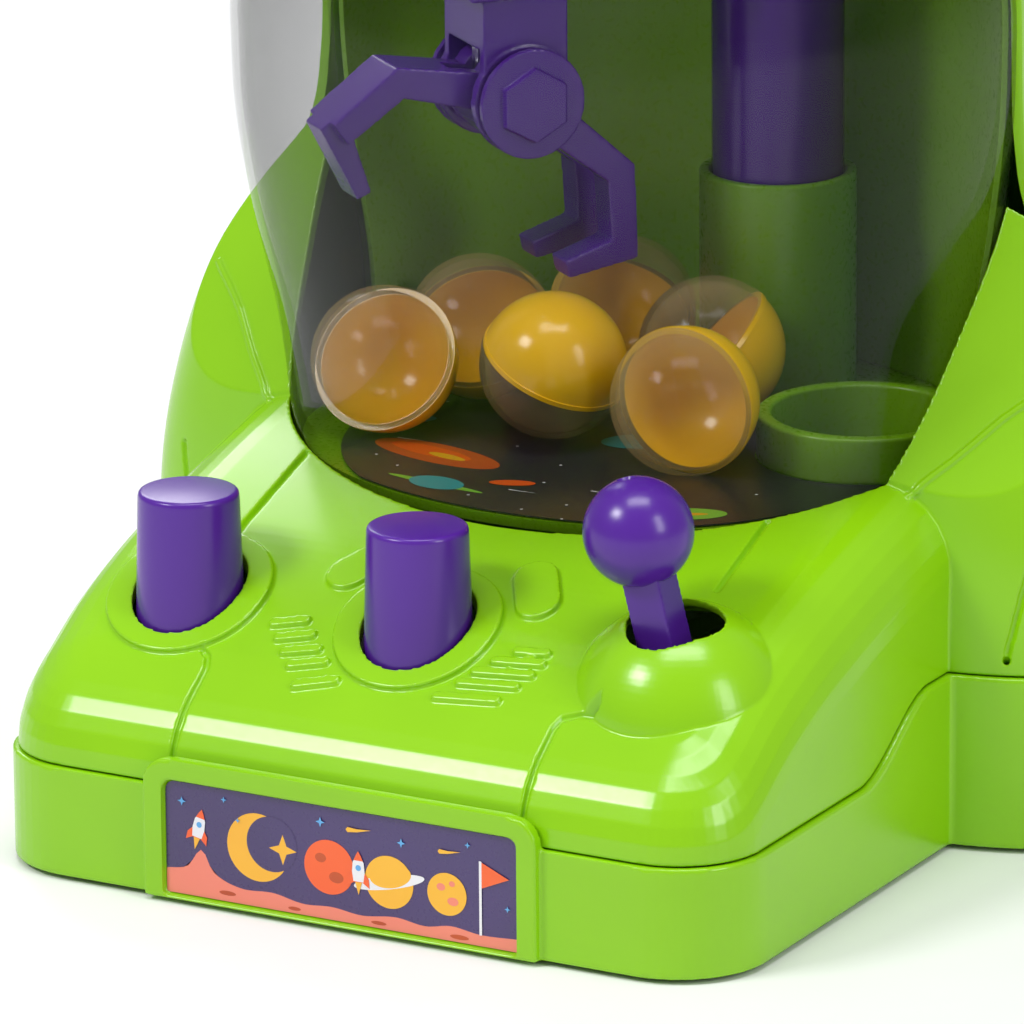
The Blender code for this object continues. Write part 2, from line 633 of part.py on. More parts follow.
def build_capsule(index, x, depth, tilt, spin):
    """Two half shells that meet at a seam; the clear half faces up the tilted axis."""
    z = FLOOR_TOP + 2 * FIT_GAP + 0.3 + CAPSULE_R
    ring = [(math.cos(math.radians(a)), math.sin(math.radians(a))) for a in (0, 30, 60)]
    wall = CAPSULE_R - 1.2
    for look, sign in (("clear", 1), ("yellow", -1)):
        seam = 0.15 * sign
        outer, inner = ([(r * c, seam + r * s * sign) for c, s in ring] + [(0, seam + r * sign)]
                        for r in (CAPSULE_R, wall))
        outline = outer[::-1] + inner if sign > 0 else inner[::-1] + outer
        half = turned("capsule_%d_%s_half" % (index, look), outline, (0, 0), look, steps=12)
        half.location = at(x, depth, z)
        half.rotation_euler = (math.radians(tilt), 0, math.radians(spin))


# --- controls ----------------------------------------------------------------
def build_plunger(name, x):
    """A cup on a stem, its guide and its return spring."""
    top, foot = PLUNGER_TOP, PLUNGER_FOOT
    turned(name + "_plunger", [(0, top), (9.0, top), (10.1, top - 0.5), (10.5, top - 1.6),
                               (PLUNGER_R, CUP_BOTTOM), (PLUNGER_R - 1.7, CUP_BOTTOM),
                               (8.8, top - 2.6), (STEM_R, top - 2.6), (STEM_R, foot), (0, foot)],
           (x, PLUNGER_DEPTH), "purple", steps=20)
    low, high = GUIDE_FLOOR
    guide = turned(name + "_plunger_guide", [(14.0, 45), (14.0, low), (STEM_R + 0.4, low),
                                             (STEM_R + 0.4, high), (12.1, high), (12.1, 45)],
                   (x, PLUNGER_DEPTH), "white", steps=16)
    for side in (-1, 1):
        edge = x + side * 12.4
        join(guide, box("guide_leg", (edge - 1.3, PLUNGER_DEPTH - 4, TRAY_FLOOR[1] + FIT_GAP),
                        (edge + 1.3, PLUNGER_DEPTH + 4, high - 0.7)))
    return helix(name + "_return_spring", (x, PLUNGER_DEPTH), high + 0.9, top - 3.5, 6.4, 0.5, 5)


def helix(name, centre, low, high, r, wire, turns):
    """A coil spring as a closed tube along a helix."""
    curve = bpy.data.curves.new(name, "CURVE")
    curve.dimensions = "3D"
    curve.bevel_depth = wire * MM
    curve.bevel_resolution = 0
    curve.use_fill_caps = True
    count = turns * 8 + 1
    spline = curve.splines.new("POLY")
    spline.points.add(count - 1)
    for i, point in enumerate(spline.points):
        a = 2 * math.pi * i / 8
        place = at(centre[0] + r * math.cos(a), centre[1] + r * math.sin(a),
                   low + (high - low) * i / (count - 1))
        point.co = (*place, 1.0)
    spring = bpy.data.objects.new(name, curve)
    crane.objects.link(spring)
    curve.materials.append(LOOKS["steel"])
    return spring


def build_joystick():
    x, d, z = JOY_X, JOY_DEPTH, JOY_Z
    stem = box("joystick_stem", (x - 4.2, d - 4.2, z), (x + 4.2, d + 4.2, z + 28), "purple")
    join(stem, cylinder("stem_hub", 6.0, (x, d - 5.5, z), 11, sides=20, axis="Y"),
         cylinder("stem_arm", 1.6, (x, d, z - JOY_ARM), JOY_ARM, r_top=3.4, sides=12),
         sphere("stem_ball", 2.45, (x, d, z - JOY_ARM), u=12, v=8))
    cut(stem, cylinder("stem_bore", 2.1, (x, d - 8, z), 16, sides=12, axis="Y"))
    knob = sphere("joystick_knob", KNOB_R, (x, d, z + JOY_BALL_REACH), "purple", u=20, v=12)
    cut(knob, box("knob_socket", (x - 4.5, d - 4.5, z + 10), (x + 4.5, d + 4.5, z + 28.3)))
    for obj in (smooth(stem), smooth(knob)):
        turn_about(obj, (x, d, z), "Y", -JOY_LEAN_DEG)
    for tool in list(cutters.objects):
        if tool.name.startswith(("stem_", "knob_")):
            turn_about(tool, (x, d, z), "Y", -JOY_LEAN_DEG)
    front, back = d - 9.5, d + 9.5
    bracket = box("joystick_bracket", (x - 9, front, z - 7), (x - 6.5, back, z - 4), "white")
    join(bracket, box("bracket_rail", (x + 6.5, front, z - 7), (x + 9, back, z - 4)))
    for low in (front, back - 2.5):
        join(bracket, box("bracket_ear", (x - 9, low, z - 7), (x + 9, low + 2.5, z + 4)))
    for side in (-1, 1):
        join(bracket, box("bracket_leg", (x + side * 9, front, TRAY_FLOOR[1] + FIT_GAP),
                          (x + side * 5.5, front + 2.5, z - 5)))
    cut(bracket, cylinder("bracket_bore", 2.1, (x, front - 2, z), 30, sides=12, axis="Y"))
    cylinder("joystick_axle", 1.8, (x, front + 0.2, z), 18.6, "steel", sides=12, axis="Y")


# --- steering train ----------------------------------------------------------
SWING_PER_STICK = MAST_SWING_DEG / (2 * JOY_LEAN_DEG)
RACK_PER_RAD = (2 * JOY_ARM * math.sin(math.radians(JOY_LEAN_DEG))
                / math.radians(2 * JOY_LEAN_DEG))
GEAR_PITCH_R = RACK_PER_RAD / SWING_PER_STICK
MODULE = 2 * GEAR_PITCH_R / GEAR_TEETH
TOOTH_HALF = (math.pi * MODULE / 2 - 0.5) / 2     # half a tooth at the pitch line
ADDENDUM, DEDENDUM = 0.75 * MODULE, 1.1 * MODULE
FLANK = math.tan(math.radians(20))
RACK_LINE = MAST_DEPTH + GEAR_PITCH_R
RACK_BACK = RACK_LINE + DEDENDUM + 4.5


def build_steering():
    tip, root = GEAR_PITCH_R + ADDENDUM, GEAR_PITCH_R - DEDENDUM
    outline = []
    for i in range(GEAR_TEETH):
        middle = 2 * math.pi * (i + 0.5) / GEAR_TEETH
        half_root = (TOOTH_HALF + DEDENDUM * FLANK * 0.7) / root
        half_tip = (TOOTH_HALF - ADDENDUM * FLANK) / tip
        for r, offset in ((root, -half_root), (tip, -half_tip), (tip, half_tip), (root, half_root)):
            outline.append((MAST_X + r * math.cos(middle + offset),
                            MAST_DEPTH + r * math.sin(middle + offset)))
    gear = prism("turntable_gear", outline, (RACK_Z[0] - 0.5, RACK_Z[1] + 0.5), "white", plane="XD")
    join(gear, cylinder("gear_hub", 7.4, (MAST_X, MAST_DEPTH, RACK_Z[0] + 1), FLANGE_Z - 1.5 - RACK_Z[0]))
    cut(gear, box("gear_bore", (MAST_X - 4.35, MAST_DEPTH - 4.35, 0),
                  (MAST_X + 4.35, MAST_DEPTH + 4.35, 40)))

    pitch, line, back = math.pi * MODULE, RACK_LINE, RACK_BACK
    rest_x = JOY_X + JOY_ARM * math.sin(math.radians(JOY_LEAN_DEG))
    rack = [(rest_x + 4, 30), (rest_x + 4, back), (MAST_X - 2.5 * pitch, back),
            (MAST_X - 2.5 * pitch, line + DEDENDUM)]
    for k in range(-2, 9):
        x = MAST_X + k * pitch
        root_half, tip_half = TOOTH_HALF + DEDENDUM * FLANK, TOOTH_HALF - ADDENDUM * FLANK
        rack += [(x - root_half, line + DEDENDUM), (x - tip_half, line - ADDENDUM),
                 (x + tip_half, line - ADDENDUM), (x + root_half, line + DEDENDUM)]
    rack += [(rest_x - 4, line + DEDENDUM), (rest_x - 4, 30)]
    bar = prism("steering_rack", rack, RACK_Z, "white", plane="XD")
    join(bar, box("rack_eye", (rest_x - 6, 30, RACK_Z[0]), (rest_x + 6, 43, RACK_Z[1] + 2.5)))
    cut(bar, cylinder("rack_eye_hole", 2.9, (rest_x, JOY_DEPTH, 0), 30, sides=16))

    bridge = box("gear_bridge", (MAST_X - 26, MAST_DEPTH - 8, 11.6), (MAST_X + 26, MAST_DEPTH + 8, 14),
                 "white")
    for side in (-1, 1):
        x = MAST_X + side * 23.5
        join(bridge, box("bridge_post", (x - 2.5, MAST_DEPTH - 8, TRAY_FLOOR[1] + FIT_GAP),
                         (x + 2.5, MAST_DEPTH + 8, 12)))
    cut(bridge, cylinder("bridge_hole", 7.8, (MAST_X, MAST_DEPTH, 0), 30, sides=24))


# --- rockers under the floor ---------------------------------------------------
def arm(name, x_span, start, end, r0, r1, look=None):
    """A flat bar with round ends between two places given as (depth, z)."""
    direction = math.atan2(end[1] - start[1], end[0] - start[0])
    outline = []
    for centre, r, turn in ((end, r1, -90), (start, r0, 90)):
        for i in range(6):
            a = direction + math.radians(turn + i * 36)
            outline.append((centre[0] + r * math.cos(a), centre[1] + r * math.sin(a)))
    return prism(name, outline, x_span, look, plane="DZ")


def rocker(name, hub_span, front_x, rear_x, rear_nose):
    """An arm forward to a plunger's stem and an arm back to the mast, on one hub."""
    axle = (AXLE_DEPTH, AXLE_Z)
    part = cylinder(name, 5.0, (hub_span[0], *axle), hub_span[1] - hub_span[0], "white",
                    sides=20, axis="X")
    nose = (PLUNGER_DEPTH, PLUNGER_FOOT - FIT_GAP - NOSE_R)
    for span, (depth, z) in ((front_x, nose), (rear_x, rear_nose)):
        join(part, arm(name + "_arm", span, axle, (depth, z), 4.6, 1.5),
             cylinder(name + "_nose", NOSE_R, (span[0], depth, z), span[1] - span[0], sides=12, axis="X"))
    return cut(part, cylinder(name + "_bore", AXLE_R + FIT_GAP, (hub_span[0] - 2, *axle),
                              hub_span[1] - hub_span[0] + 4, sides=16, axis="X"))


def build_rockers():
    left = (LEFT_PLUNGER_X - 2.5, LEFT_PLUNGER_X + 2.5)
    rocker("lift_rocker", (left[0] - 1, LIFT_ARM_X[1]), left, LIFT_ARM_X,
           (MAST_DEPTH, FLANGE_Z - FIT_GAP - NOSE_R))
    rocker("jaw_rocker", (JAW_ARM_X[0] - 0.8, 12.4), JAW_ARM_X, JAW_ARM_X,
           (COLLAR_NOSE_DEPTH, COLLAR_Z - FIT_GAP - NOSE_R))
    first, last = AXLE_POSTS
    cylinder("rocker_axle", AXLE_R, (first + 0.2, AXLE_DEPTH, AXLE_Z), last + 2.6 - first, "steel",
             sides=16, axis="X")


# --- mast, boom and claw -------------------------------------------------------
# The boom and claw are drawn with the boom along +X from the mast, then turned.
def swing(*objects):
    for obj in objects:
        turn_about(obj, (MAST_X, MAST_DEPTH, 0), "Z", BOOM_ANGLE)


def from_mast(x, across, z):
    return (MAST_X + x, MAST_DEPTH + across, z)


def boom_box(name, low, high, look=None):
    return box(name, from_mast(*low), from_mast(*high), look)


def finger_outline(angles, lengths, widths, sign):
    """A bent bar's outline in the plane of the claw, from the hub outwards."""
    spine = [(0.0, 0.0)]
    for angle, length in zip(angles, lengths):
        a = math.radians(angle)
        spine.append((spine[-1][0] + length * math.cos(a), spine[-1][1] + length * math.sin(a)))
    left, right = [], []
    for i, (x, z) in enumerate(spine):
        before = angles[max(i - 1, 0)]
        after = angles[min(i, len(angles) - 1)]
        a = math.radians((before + after) / 2 + 90)
        reach = widths[i] / 2 / math.cos(math.radians((after - before) / 2))
        left.append((x + reach * math.cos(a), z + reach * math.sin(a)))
        right.append((x - reach * math.cos(a), z - reach * math.sin(a)))
    return [(MAST_X + BOOM_REACH + sign * x, HUB_Z + z) for x, z in left + right[::-1]]


def claw_prism(name, outline, across, look=None):
    span = (MAST_DEPTH + across[0], MAST_DEPTH + across[1])
    return prism(name, outline, span, look)


def build_mast():
    tube_low, tube_high = FLOOR_TOP + 2.7, BOOM_Z[0] - FIT_GAP
    tube = turned("mast_tube", [(MAST_R, tube_high), (MAST_R, tube_low), (6.4, tube_low),
                                (6.4, tube_low + 2), (12.7, tube_low + 2), (12.7, tube_high)],
                  (MAST_X, MAST_DEPTH), "purple", steps=24)
    rod_hole = cylinder("rod_hole", 1.9, from_mast(PUSH_ROD_R, 0, tube_low - 3), 8, sides=12)
    swing(rod_hole)
    cut(tube, rod_hole)
    top = tube_low + 2 + FIT_GAP
    spindle = turned("mast_spindle", [(0, top + 4), (7.0, top + 4), (7.0, top), (6.1, top),
                                      (6.1, FLANGE_Z + 2.5), (11.0, FLANGE_Z + 2.5),
                                      (11.0, FLANGE_Z), (0, FLANGE_Z)],
                     (MAST_X, MAST_DEPTH), "purple", steps=24)
    join(spindle, box("square_end", from_mast(-4.0, -4.0, 5.5), from_mast(4.0, 4.0, FLANGE_Z + 1)))

    collar = cylinder("jaw_push_rod", 17.0, from_mast(0, 0, COLLAR_Z), 2.5, "steel", sides=28)
    rod_top = LEVER_Z - 2.3
    rod = cylinder("push_rod_shaft", 1.5, from_mast(PUSH_ROD_R, 0, COLLAR_Z + 1),
                   rod_top - COLLAR_Z - 1, sides=12)
    swing(rod)
    join(collar, rod)
    cut(collar, cylinder("collar_bore", 6.5, from_mast(0, 0, 20), 30, sides=24))


def build_boom():
    low, high = BOOM_Z
    end = BOOM_REACH + 13.5
    boom = boom_box("boom", (0, -13, low), (end, 13, high), "purple")
    rear = cylinder("boom_rear", MAST_R, from_mast(0, 0, low), high - low, sides=32)
    inside = boom_box("boom_inside", (0, -10.6, low - 5), (end - 2.4, 10.6, high - 2.4))
    rear_inside = cylinder("boom_rear_inside", 11.4, from_mast(0, 0, low - 5), high - low + 2.6)
    pivot = (lever_pivot(), 0, LEVER_Z)
    bore = cylinder("lever_bore", 1.6, from_mast(pivot[0], -15, pivot[2]), 30, sides=12, axis="Y")
    join(boom, rear)
    cut(boom, inside, rear_inside, bore)
    lever = boom_box("boom_lever", (PUSH_ROD_R - 2.5, -2, LEVER_Z - 1.5),
                     (BOOM_REACH + DROP_X + 2, 2, LEVER_Z + 1.5), "white")
    hub = cylinder("lever_hub", 3.4, from_mast(pivot[0], -4, pivot[2]), 8, sides=16, axis="Y")
    join(lever, hub)
    cut(lever, bore)
    pin = cylinder("boom_lever_pin", 1.3, from_mast(pivot[0], -12.8, pivot[2]), 25.6, "steel",
                   sides=12, axis="Y")
    swing(boom, rear, inside, rear_inside, bore, lever, hub, pin)


def push_travel():
    """How far the jaw rocker lifts the push rod."""
    return JAW_PLUNGER_TRAVEL * (COLLAR_NOSE_DEPTH - AXLE_DEPTH) / (AXLE_DEPTH - PLUNGER_DEPTH)


def lever_pivot():
    """Place the lever's pivot so the drop rod's travel matches the jaw's horn."""
    ratio = DROP_TRAVEL / push_travel()
    return (BOOM_REACH + DROP_X + ratio * PUSH_ROD_R) / (1 + ratio)


def build_claw():
    hub = (BOOM_REACH, HUB_Z)
    head = boom_box("claw_head", (hub[0] - 9.8, -10.75, HUB_Z), (hub[0] + 9.8, 10.75, BOOM_Z[0] - FIT_GAP),
                    "purple")
    cheeks = cylinder("cheeks", HUB_R, from_mast(hub[0], -11, HUB_Z), 22, sides=32, axis="Y")
    outline = finger_outline((-40, -87.5, -167), (28, 17, 14), (9, 6.5, 6, 4), -1)
    fingers = [claw_prism("finger_%d" % i, outline, across)
               for i, across in enumerate(((5, 12.8), (-12.8, -5)))]
    shaft = boom_box("head_inside", (hub[0] - 8.2, -8.4, HUB_Z - 5), (hub[0] + 8.2, 8.4, 200))
    mouth = boom_box("head_mouth", (hub[0] - 20, -8.4, HUB_Z - 20), (hub[0] + 20, 8.4, HUB_Z + 11.5))
    room = cylinder("knuckle_room", 11.2, from_mast(hub[0], -8.4, HUB_Z), 16.8, sides=32, axis="Y")
    bore = cylinder("hub_bore", 2.3, from_mast(hub[0], -20, HUB_Z), 40, sides=16, axis="Y")
    join(head, cheeks)
    cut(head, shaft, mouth)
    for finger in fingers:
        cut(finger, room)
    join(head, *fingers)
    cut(head, bore)
    pin = cylinder("claw_pin", 2.0, from_mast(hub[0], -10.8, HUB_Z), 21.6, "steel", sides=16, axis="Y")
    near = cylinder("hub_cap_near", HUB_R, from_mast(hub[0], 13.1, HUB_Z), 1.7, "purple", sides=32,
                    axis="Y")
    boss = cylinder("hub_hexagon", 8.2, from_mast(hub[0], 14, HUB_Z), 2.6, sides=6, axis="Y")
    join(near, boss)
    far = cylinder("hub_cap_far", HUB_R, from_mast(hub[0], -14.8, HUB_Z), 1.7, "purple", sides=32,
                   axis="Y")

    jaw_angles = (-40 + JAW_OPEN_DEG, -87.5 + JAW_OPEN_DEG, -165 + JAW_OPEN_DEG)
    jaw = claw_prism("moving_jaw", finger_outline(jaw_angles[:2], (28, 17), (9, 6.5, 6), 1), (-7, 7),
                     "purple")
    tip = claw_prism("jaw_tip", finger_outline(jaw_angles, (28, 17, 16), (9, 6.5, 6, 3.5), 1), (-4.4, 4.4))
    knuckle = cylinder("jaw_knuckle", 10.5, from_mast(hub[0], -8.1, HUB_Z), 16.2, sides=32, axis="Y")
    join(jaw, tip, knuckle)
    cut(jaw, bore)
    notches = []
    for step in range(5):
        angle = JAW_OPEN_DEG * step / 4
        end = HUB_Z + HORN_R * math.sin(math.radians(JAW_OPEN_DEG / 2 - angle))
        notch = boom_box("rod_notch_%d" % step, (hub[0] + DROP_X - 2.2, -2.4, end - 0.1),
                         (hub[0] + DROP_X + 8, 2.4, end + 20))
        turn_about(notch, from_mast(hub[0], 0, HUB_Z), "Y", -angle)
        cut(jaw, notch)
        notches.append(notch)
    rod = cylinder("jaw_drop_rod", 1.5, from_mast(hub[0] + DROP_X, 0, HUB_Z + DROP_TRAVEL / 2 + 0.4),
                   LEVER_Z - 2.3 - HUB_Z - DROP_TRAVEL / 2 - 0.4, "steel", sides=12)
    swing(head, cheeks, shaft, mouth, room, bore, pin, near, boss, far, jaw, tip, knuckle, rod,
          *fingers, *notches)


# --- feet, screws and sticker ----------------------------------------------------
def build_small_parts():
    box("front_sticker", (-PANEL_HALF + FIT_GAP, -0.7, 2.1), (PANEL_HALF - FIT_GAP, -0.1 - FIT_GAP, 26.7),
        "sticker")
    for index, (x, depth) in enumerate(((-70, 18), (70, 18), (-88, 196), (88, 196)), 1):
        cylinder("rubber_foot_%d" % index, 7.0, (x, depth, 0), TRAY_FLOOR[0] - FIT_GAP, "rubber",
                 r_top=7.6, sides=20)


CAPSULES = ((-51.1, 109.4, 56, 3), (-16.5, 122.0, 153, -98), (21.4, 110.7, 93, -2),
            (8.0, 148.5, 48, -60), (-25.0, 169.5, 30, 60), (-45.5, 141.5, 40, 10))

build_base_tray()
build_control_deck()
build_back_shell()
build_dome()
build_filler_lid()
build_play_area()
build_prize_outlet()
for number, place in enumerate(CAPSULES, 1):
    build_capsule(number, *place)
build_plunger("left", LEFT_PLUNGER_X)
build_plunger("centre", CENTRE_PLUNGER_X)
build_joystick()
build_steering()
build_rockers()
build_mast()
build_boom()
build_claw()
build_small_parts()
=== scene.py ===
"""Looks for the toy claw crane machine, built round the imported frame.

Lengths are in millimetres and a place is (x, depth, z), with depth measured backwards
from the front of the skirt, as in the CAD. The frame itself is in metres.
"""

import json
import math

import bmesh
import bpy
from mathutils import Matrix, Vector
from mathutils.bvhtree import BVHTree


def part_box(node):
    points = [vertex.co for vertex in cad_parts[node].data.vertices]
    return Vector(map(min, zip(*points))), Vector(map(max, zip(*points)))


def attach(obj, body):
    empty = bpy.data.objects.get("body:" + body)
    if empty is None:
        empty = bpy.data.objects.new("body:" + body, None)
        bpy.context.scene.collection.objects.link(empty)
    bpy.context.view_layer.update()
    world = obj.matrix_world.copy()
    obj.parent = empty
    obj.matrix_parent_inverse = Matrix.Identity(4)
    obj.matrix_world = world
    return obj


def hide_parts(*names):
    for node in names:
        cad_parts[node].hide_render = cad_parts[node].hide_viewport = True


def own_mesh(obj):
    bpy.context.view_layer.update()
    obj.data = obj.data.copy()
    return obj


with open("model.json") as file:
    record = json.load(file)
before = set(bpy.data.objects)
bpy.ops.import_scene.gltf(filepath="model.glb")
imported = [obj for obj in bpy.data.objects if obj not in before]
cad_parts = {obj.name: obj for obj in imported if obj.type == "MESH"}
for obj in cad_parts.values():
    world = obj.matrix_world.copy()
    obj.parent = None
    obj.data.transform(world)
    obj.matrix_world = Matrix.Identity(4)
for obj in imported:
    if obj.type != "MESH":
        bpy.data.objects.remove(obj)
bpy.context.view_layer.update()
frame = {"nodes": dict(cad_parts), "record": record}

MM = 0.001
FRONT_TO_ORIGIN = 110.0      # the skirt's front face to the frame's origin
GAP = 0.3                    # between pieces that only rest against each other
WALL = 2.4                   # of the big shells
BALL_CENTRE = (127.0, 168.0)  # depth, z
DOME_R, DOME_RISE, DOME_WALL, DOME_BOTTOM = 85.0, 95.0, 1.6, 66.0
LID_SEAT_Z = 254.0
JOINT_DEPTH = 142.7          # where the front shells meet the rear one
FLOOR_TOP = 71.0
SKIRT_TOP_FRONT, SKIRT_TOP_REAR = 24.7, 38.5
PLUNGER_DEPTH, PLUNGER_TOP = 33.0, 78.5
PLUNGER_XS = {"left": -55.0, "centre": 0.0}
JOY = (58.5, 36.0, 51.0)     # the stick's pivot
JOY_LEAN_DEG = 14.4
MAST = (6.5, 182.5)          # x, depth
CHUTE = (48.0, 141.5)        # x, depth
OUTLET_DEPTH, OUTLET_Z = (122.5, 160.5), (6.6, 45.0)
LID_AXIS = (167.5, 258.0)    # depth, z
POST_R, POST_FOOT = 4.5, 4.8  # screw posts on the tray's floor
WELD_M, FINE_M = 1e-6, 1e-7

SLOT_OF = {row["node"]: row["material_slot"] for row in frame["record"]["subparts"]}
BODY_OF = {node: body for body, nodes in frame["record"]["behaviour"]["bodies"].items()
           for node in nodes}


# --- materials ---------------------------------------------------------------
NOISE_MIDDLE = (0.3, 0.7)
DRIFT_SCALE, DRIFT_DETAIL = 22.0, 3.0
GRAIN_DETAIL, GRAIN_DEPTH_M = 4.0, 0.0003
GLOSSIEST, DULLEST = 0.94, 1.08   # shares of a material's roughness
COAT_ROUGHNESS = 0.12
ALPHA_BLEND = 0.35                # how far in from its rim a clear piece thickens


def noise(tree, coords, scale, detail):
    node = tree.nodes.new("ShaderNodeTexNoise")
    node.inputs["Scale"].default_value = scale
    node.inputs["Detail"].default_value = detail
    tree.links.new(coords, node.inputs["Vector"])
    return node.outputs["Fac"]


def spread(tree, value, low, high):
    """Stretch the middle of a noise over low to high."""
    node = tree.nodes.new("ShaderNodeMapRange")
    node.inputs["From Min"].default_value, node.inputs["From Max"].default_value = NOISE_MIDDLE
    node.inputs["To Min"].default_value = low
    node.inputs["To Max"].default_value = high
    tree.links.new(value, node.inputs["Value"])
    return node.outputs["Result"]


def moulded(name, light, dark, roughness, grain=900.0, bump=0.012, metallic=0.0, coat=0.0,
            ior=1.5, alpha=None):
    """Moulded plastic, metal or rubber: slow colour drift, uneven gloss and a fine grain."""
    mat = bpy.data.materials.new(name)
    mat.use_nodes = True
    tree = mat.node_tree
    shader = tree.nodes["Principled BSDF"]
    coords = tree.nodes.new("ShaderNodeTexCoord").outputs["Object"]
    slow = noise(tree, coords, DRIFT_SCALE, DRIFT_DETAIL)
    mix = tree.nodes.new("ShaderNodeMix")
    mix.data_type = "RGBA"
    mix.inputs["A"].default_value = (*dark, 1.0)
    mix.inputs["B"].default_value = (*light, 1.0)
    tree.links.new(spread(tree, slow, 0.0, 1.0), mix.inputs["Factor"])
    tree.links.new(mix.outputs["Result"], shader.inputs["Base Color"])
    fine = noise(tree, coords, grain, GRAIN_DETAIL)
    gloss = spread(tree, fine, roughness * GLOSSIEST, roughness * DULLEST)
    tree.links.new(gloss, shader.inputs["Roughness"])
    relief = tree.nodes.new("ShaderNodeBump")
    relief.inputs["Strength"].default_value = bump
    relief.inputs["Distance"].default_value = GRAIN_DEPTH_M
    tree.links.new(fine, relief.inputs["Height"])
    tree.links.new(relief.outputs["Normal"], shader.inputs["Normal"])
    shader.inputs["Metallic"].default_value = metallic
    shader.inputs["IOR"].default_value = ior
    shader.inputs["Coat Weight"].default_value = coat
    shader.inputs["Coat Roughness"].default_value = COAT_ROUGHNESS
    if alpha is not None:
        facing = tree.nodes.new("ShaderNodeLayerWeight")
        facing.inputs["Blend"].default_value = ALPHA_BLEND
        edge = tree.nodes.new("ShaderNodeMapRange")
        edge.inputs["To Min"].default_value, edge.inputs["To Max"].default_value = alpha
        tree.links.new(facing.outputs["Facing"], edge.inputs["Value"])
        tree.links.new(edge.outputs["Result"], shader.inputs["Alpha"])
    return mat


LOOKS = {
    "green_plastic": moulded("green_gloss", (0.265, 0.590, 0.003), (0.240, 0.545, 0.002), 0.22),
    "purple_plastic": moulded("violet_gloss", (0.085, 0.014, 0.300), (0.070, 0.011, 0.255), 0.25),
    "yellow_plastic": moulded("yellow_gloss", (1.0, 0.58, 0.003), (0.96, 0.53, 0.002), 0.18),
    "clear_plastic": moulded("amber_clear", (0.90, 0.70, 0.34), (0.84, 0.62, 0.28), 0.05,
                             bump=0.004, ior=1.8, alpha=(0.045, 0.32)),
    "smoke_plastic": moulded("smoke_clear", (0.008, 0.009, 0.006), (0.005, 0.006, 0.004), 0.04,
                             bump=0.004, ior=1.6, alpha=(0.10, 0.40)),
    "bright_steel": moulded("bright_steel", (0.66, 0.67, 0.69), (0.56, 0.57, 0.60), 0.24,
                            metallic=1.0, grain=2500.0),
    "white_plastic": moulded("natural_acetal", (0.80, 0.79, 0.74), (0.74, 0.73, 0.68), 0.38),
    "black_rubber": moulded("matt_rubber", (0.035, 0.035, 0.035), (0.02, 0.02, 0.02), 0.75,
                            bump=0.3),
    "floor_print": moulded("print_night", (0.045, 0.036, 0.045), (0.014, 0.012, 0.022), 0.30),
    "front_print": moulded("print_violet", (0.060, 0.035, 0.150), (0.045, 0.025, 0.115), 0.28,
                           coat=0.4),
}
# A darker copy of the green plastic for the pieces inside the dome. This is painted shade: it
# stands for the shade that the rear shell, lid and smoky dome cast there.
PAINTED_SHADE_GREEN = moulded("green_painted_shade", (0.185, 0.405, 0.003), (0.165, 0.370, 0.002), 0.28,
                      bump=0.002)
PAINTED_SHADE_NODES = ("play_area_liner", "mast_socket", "chute_ring", "playfield_floor")
INKS = {
    "coral": moulded("ink_coral", (0.90, 0.25, 0.16), (0.85, 0.21, 0.14), 0.30, coat=0.4),
    "orange": moulded("ink_orange", (0.95, 0.13, 0.015), (0.88, 0.10, 0.01), 0.30, coat=0.4),
    "amber": moulded("ink_amber", (0.95, 0.50, 0.02), (0.90, 0.44, 0.015), 0.30, coat=0.4),
    "white": moulded("ink_white", (0.86, 0.86, 0.88), (0.78, 0.78, 0.82), 0.30, coat=0.4),
    "sky": moulded("ink_sky", (0.12, 0.42, 0.80), (0.09, 0.36, 0.72), 0.30, coat=0.4),
    "teal": moulded("ink_teal", (0.02, 0.42, 0.42), (0.015, 0.30, 0.33), 0.30),
    "leaf": moulded("ink_leaf", (0.25, 0.62, 0.05), (0.18, 0.50, 0.05), 0.30),
    "night": LOOKS["front_print"],
    "rust": moulded("ink_rust", (0.62, 0.10, 0.02), (0.45, 0.06, 0.015), 0.34),
}

for node, cad_object in frame["nodes"].items():
    cad_object.data.materials.clear()
    cad_object.data.materials.append(LOOKS[SLOT_OF[node]])


# --- helpers -----------------------------------------------------------------
FILLET_SHARE, FILLET_STEPS = 0.45, 4   # of the shorter side, per corner


def at(x, depth, z):
    """A place in the frame's metres."""
    return Vector((x, depth - FRONT_TO_ORIGIN, z)) * MM


def to_object(name, bm):
    bmesh.ops.recalc_face_normals(bm, faces=bm.faces[:])
    mesh = bpy.data.meshes.new(name)
    bm.to_mesh(mesh)
    bm.free()
    obj = bpy.data.objects.new(name, mesh)
    bpy.context.scene.collection.objects.link(obj)
    return obj


def discard(*objects):
    for obj in objects:
        bpy.data.objects.remove(obj, do_unlink=True)


def settle(obj):
    """Apply an object's modifiers and its place to its mesh."""
    bpy.context.view_layer.update()
    graph = bpy.context.evaluated_depsgraph_get()
    mesh = bpy.data.meshes.new_from_object(obj.evaluated_get(graph))
    mesh.transform(obj.matrix_world)
    obj.modifiers.clear()
    obj.data = mesh
    obj.matrix_world = Matrix.Identity(4)
    return obj


def boolean(target, tool, operation="DIFFERENCE"):
    """Combine two solids and use up the tool."""
    mod = target.modifiers.new("combine", "BOOLEAN")
    mod.operation = operation
    mod.object = tool
    mod.solver = "EXACT"
    settle(target)
    discard(tool)
    return target


def cut(target, *tools):
    for tool in tools:
        boolean(target, tool)
    return target


def join(target, *tools):
    for tool in tools:
        boolean(target, tool, "UNION")
    return target


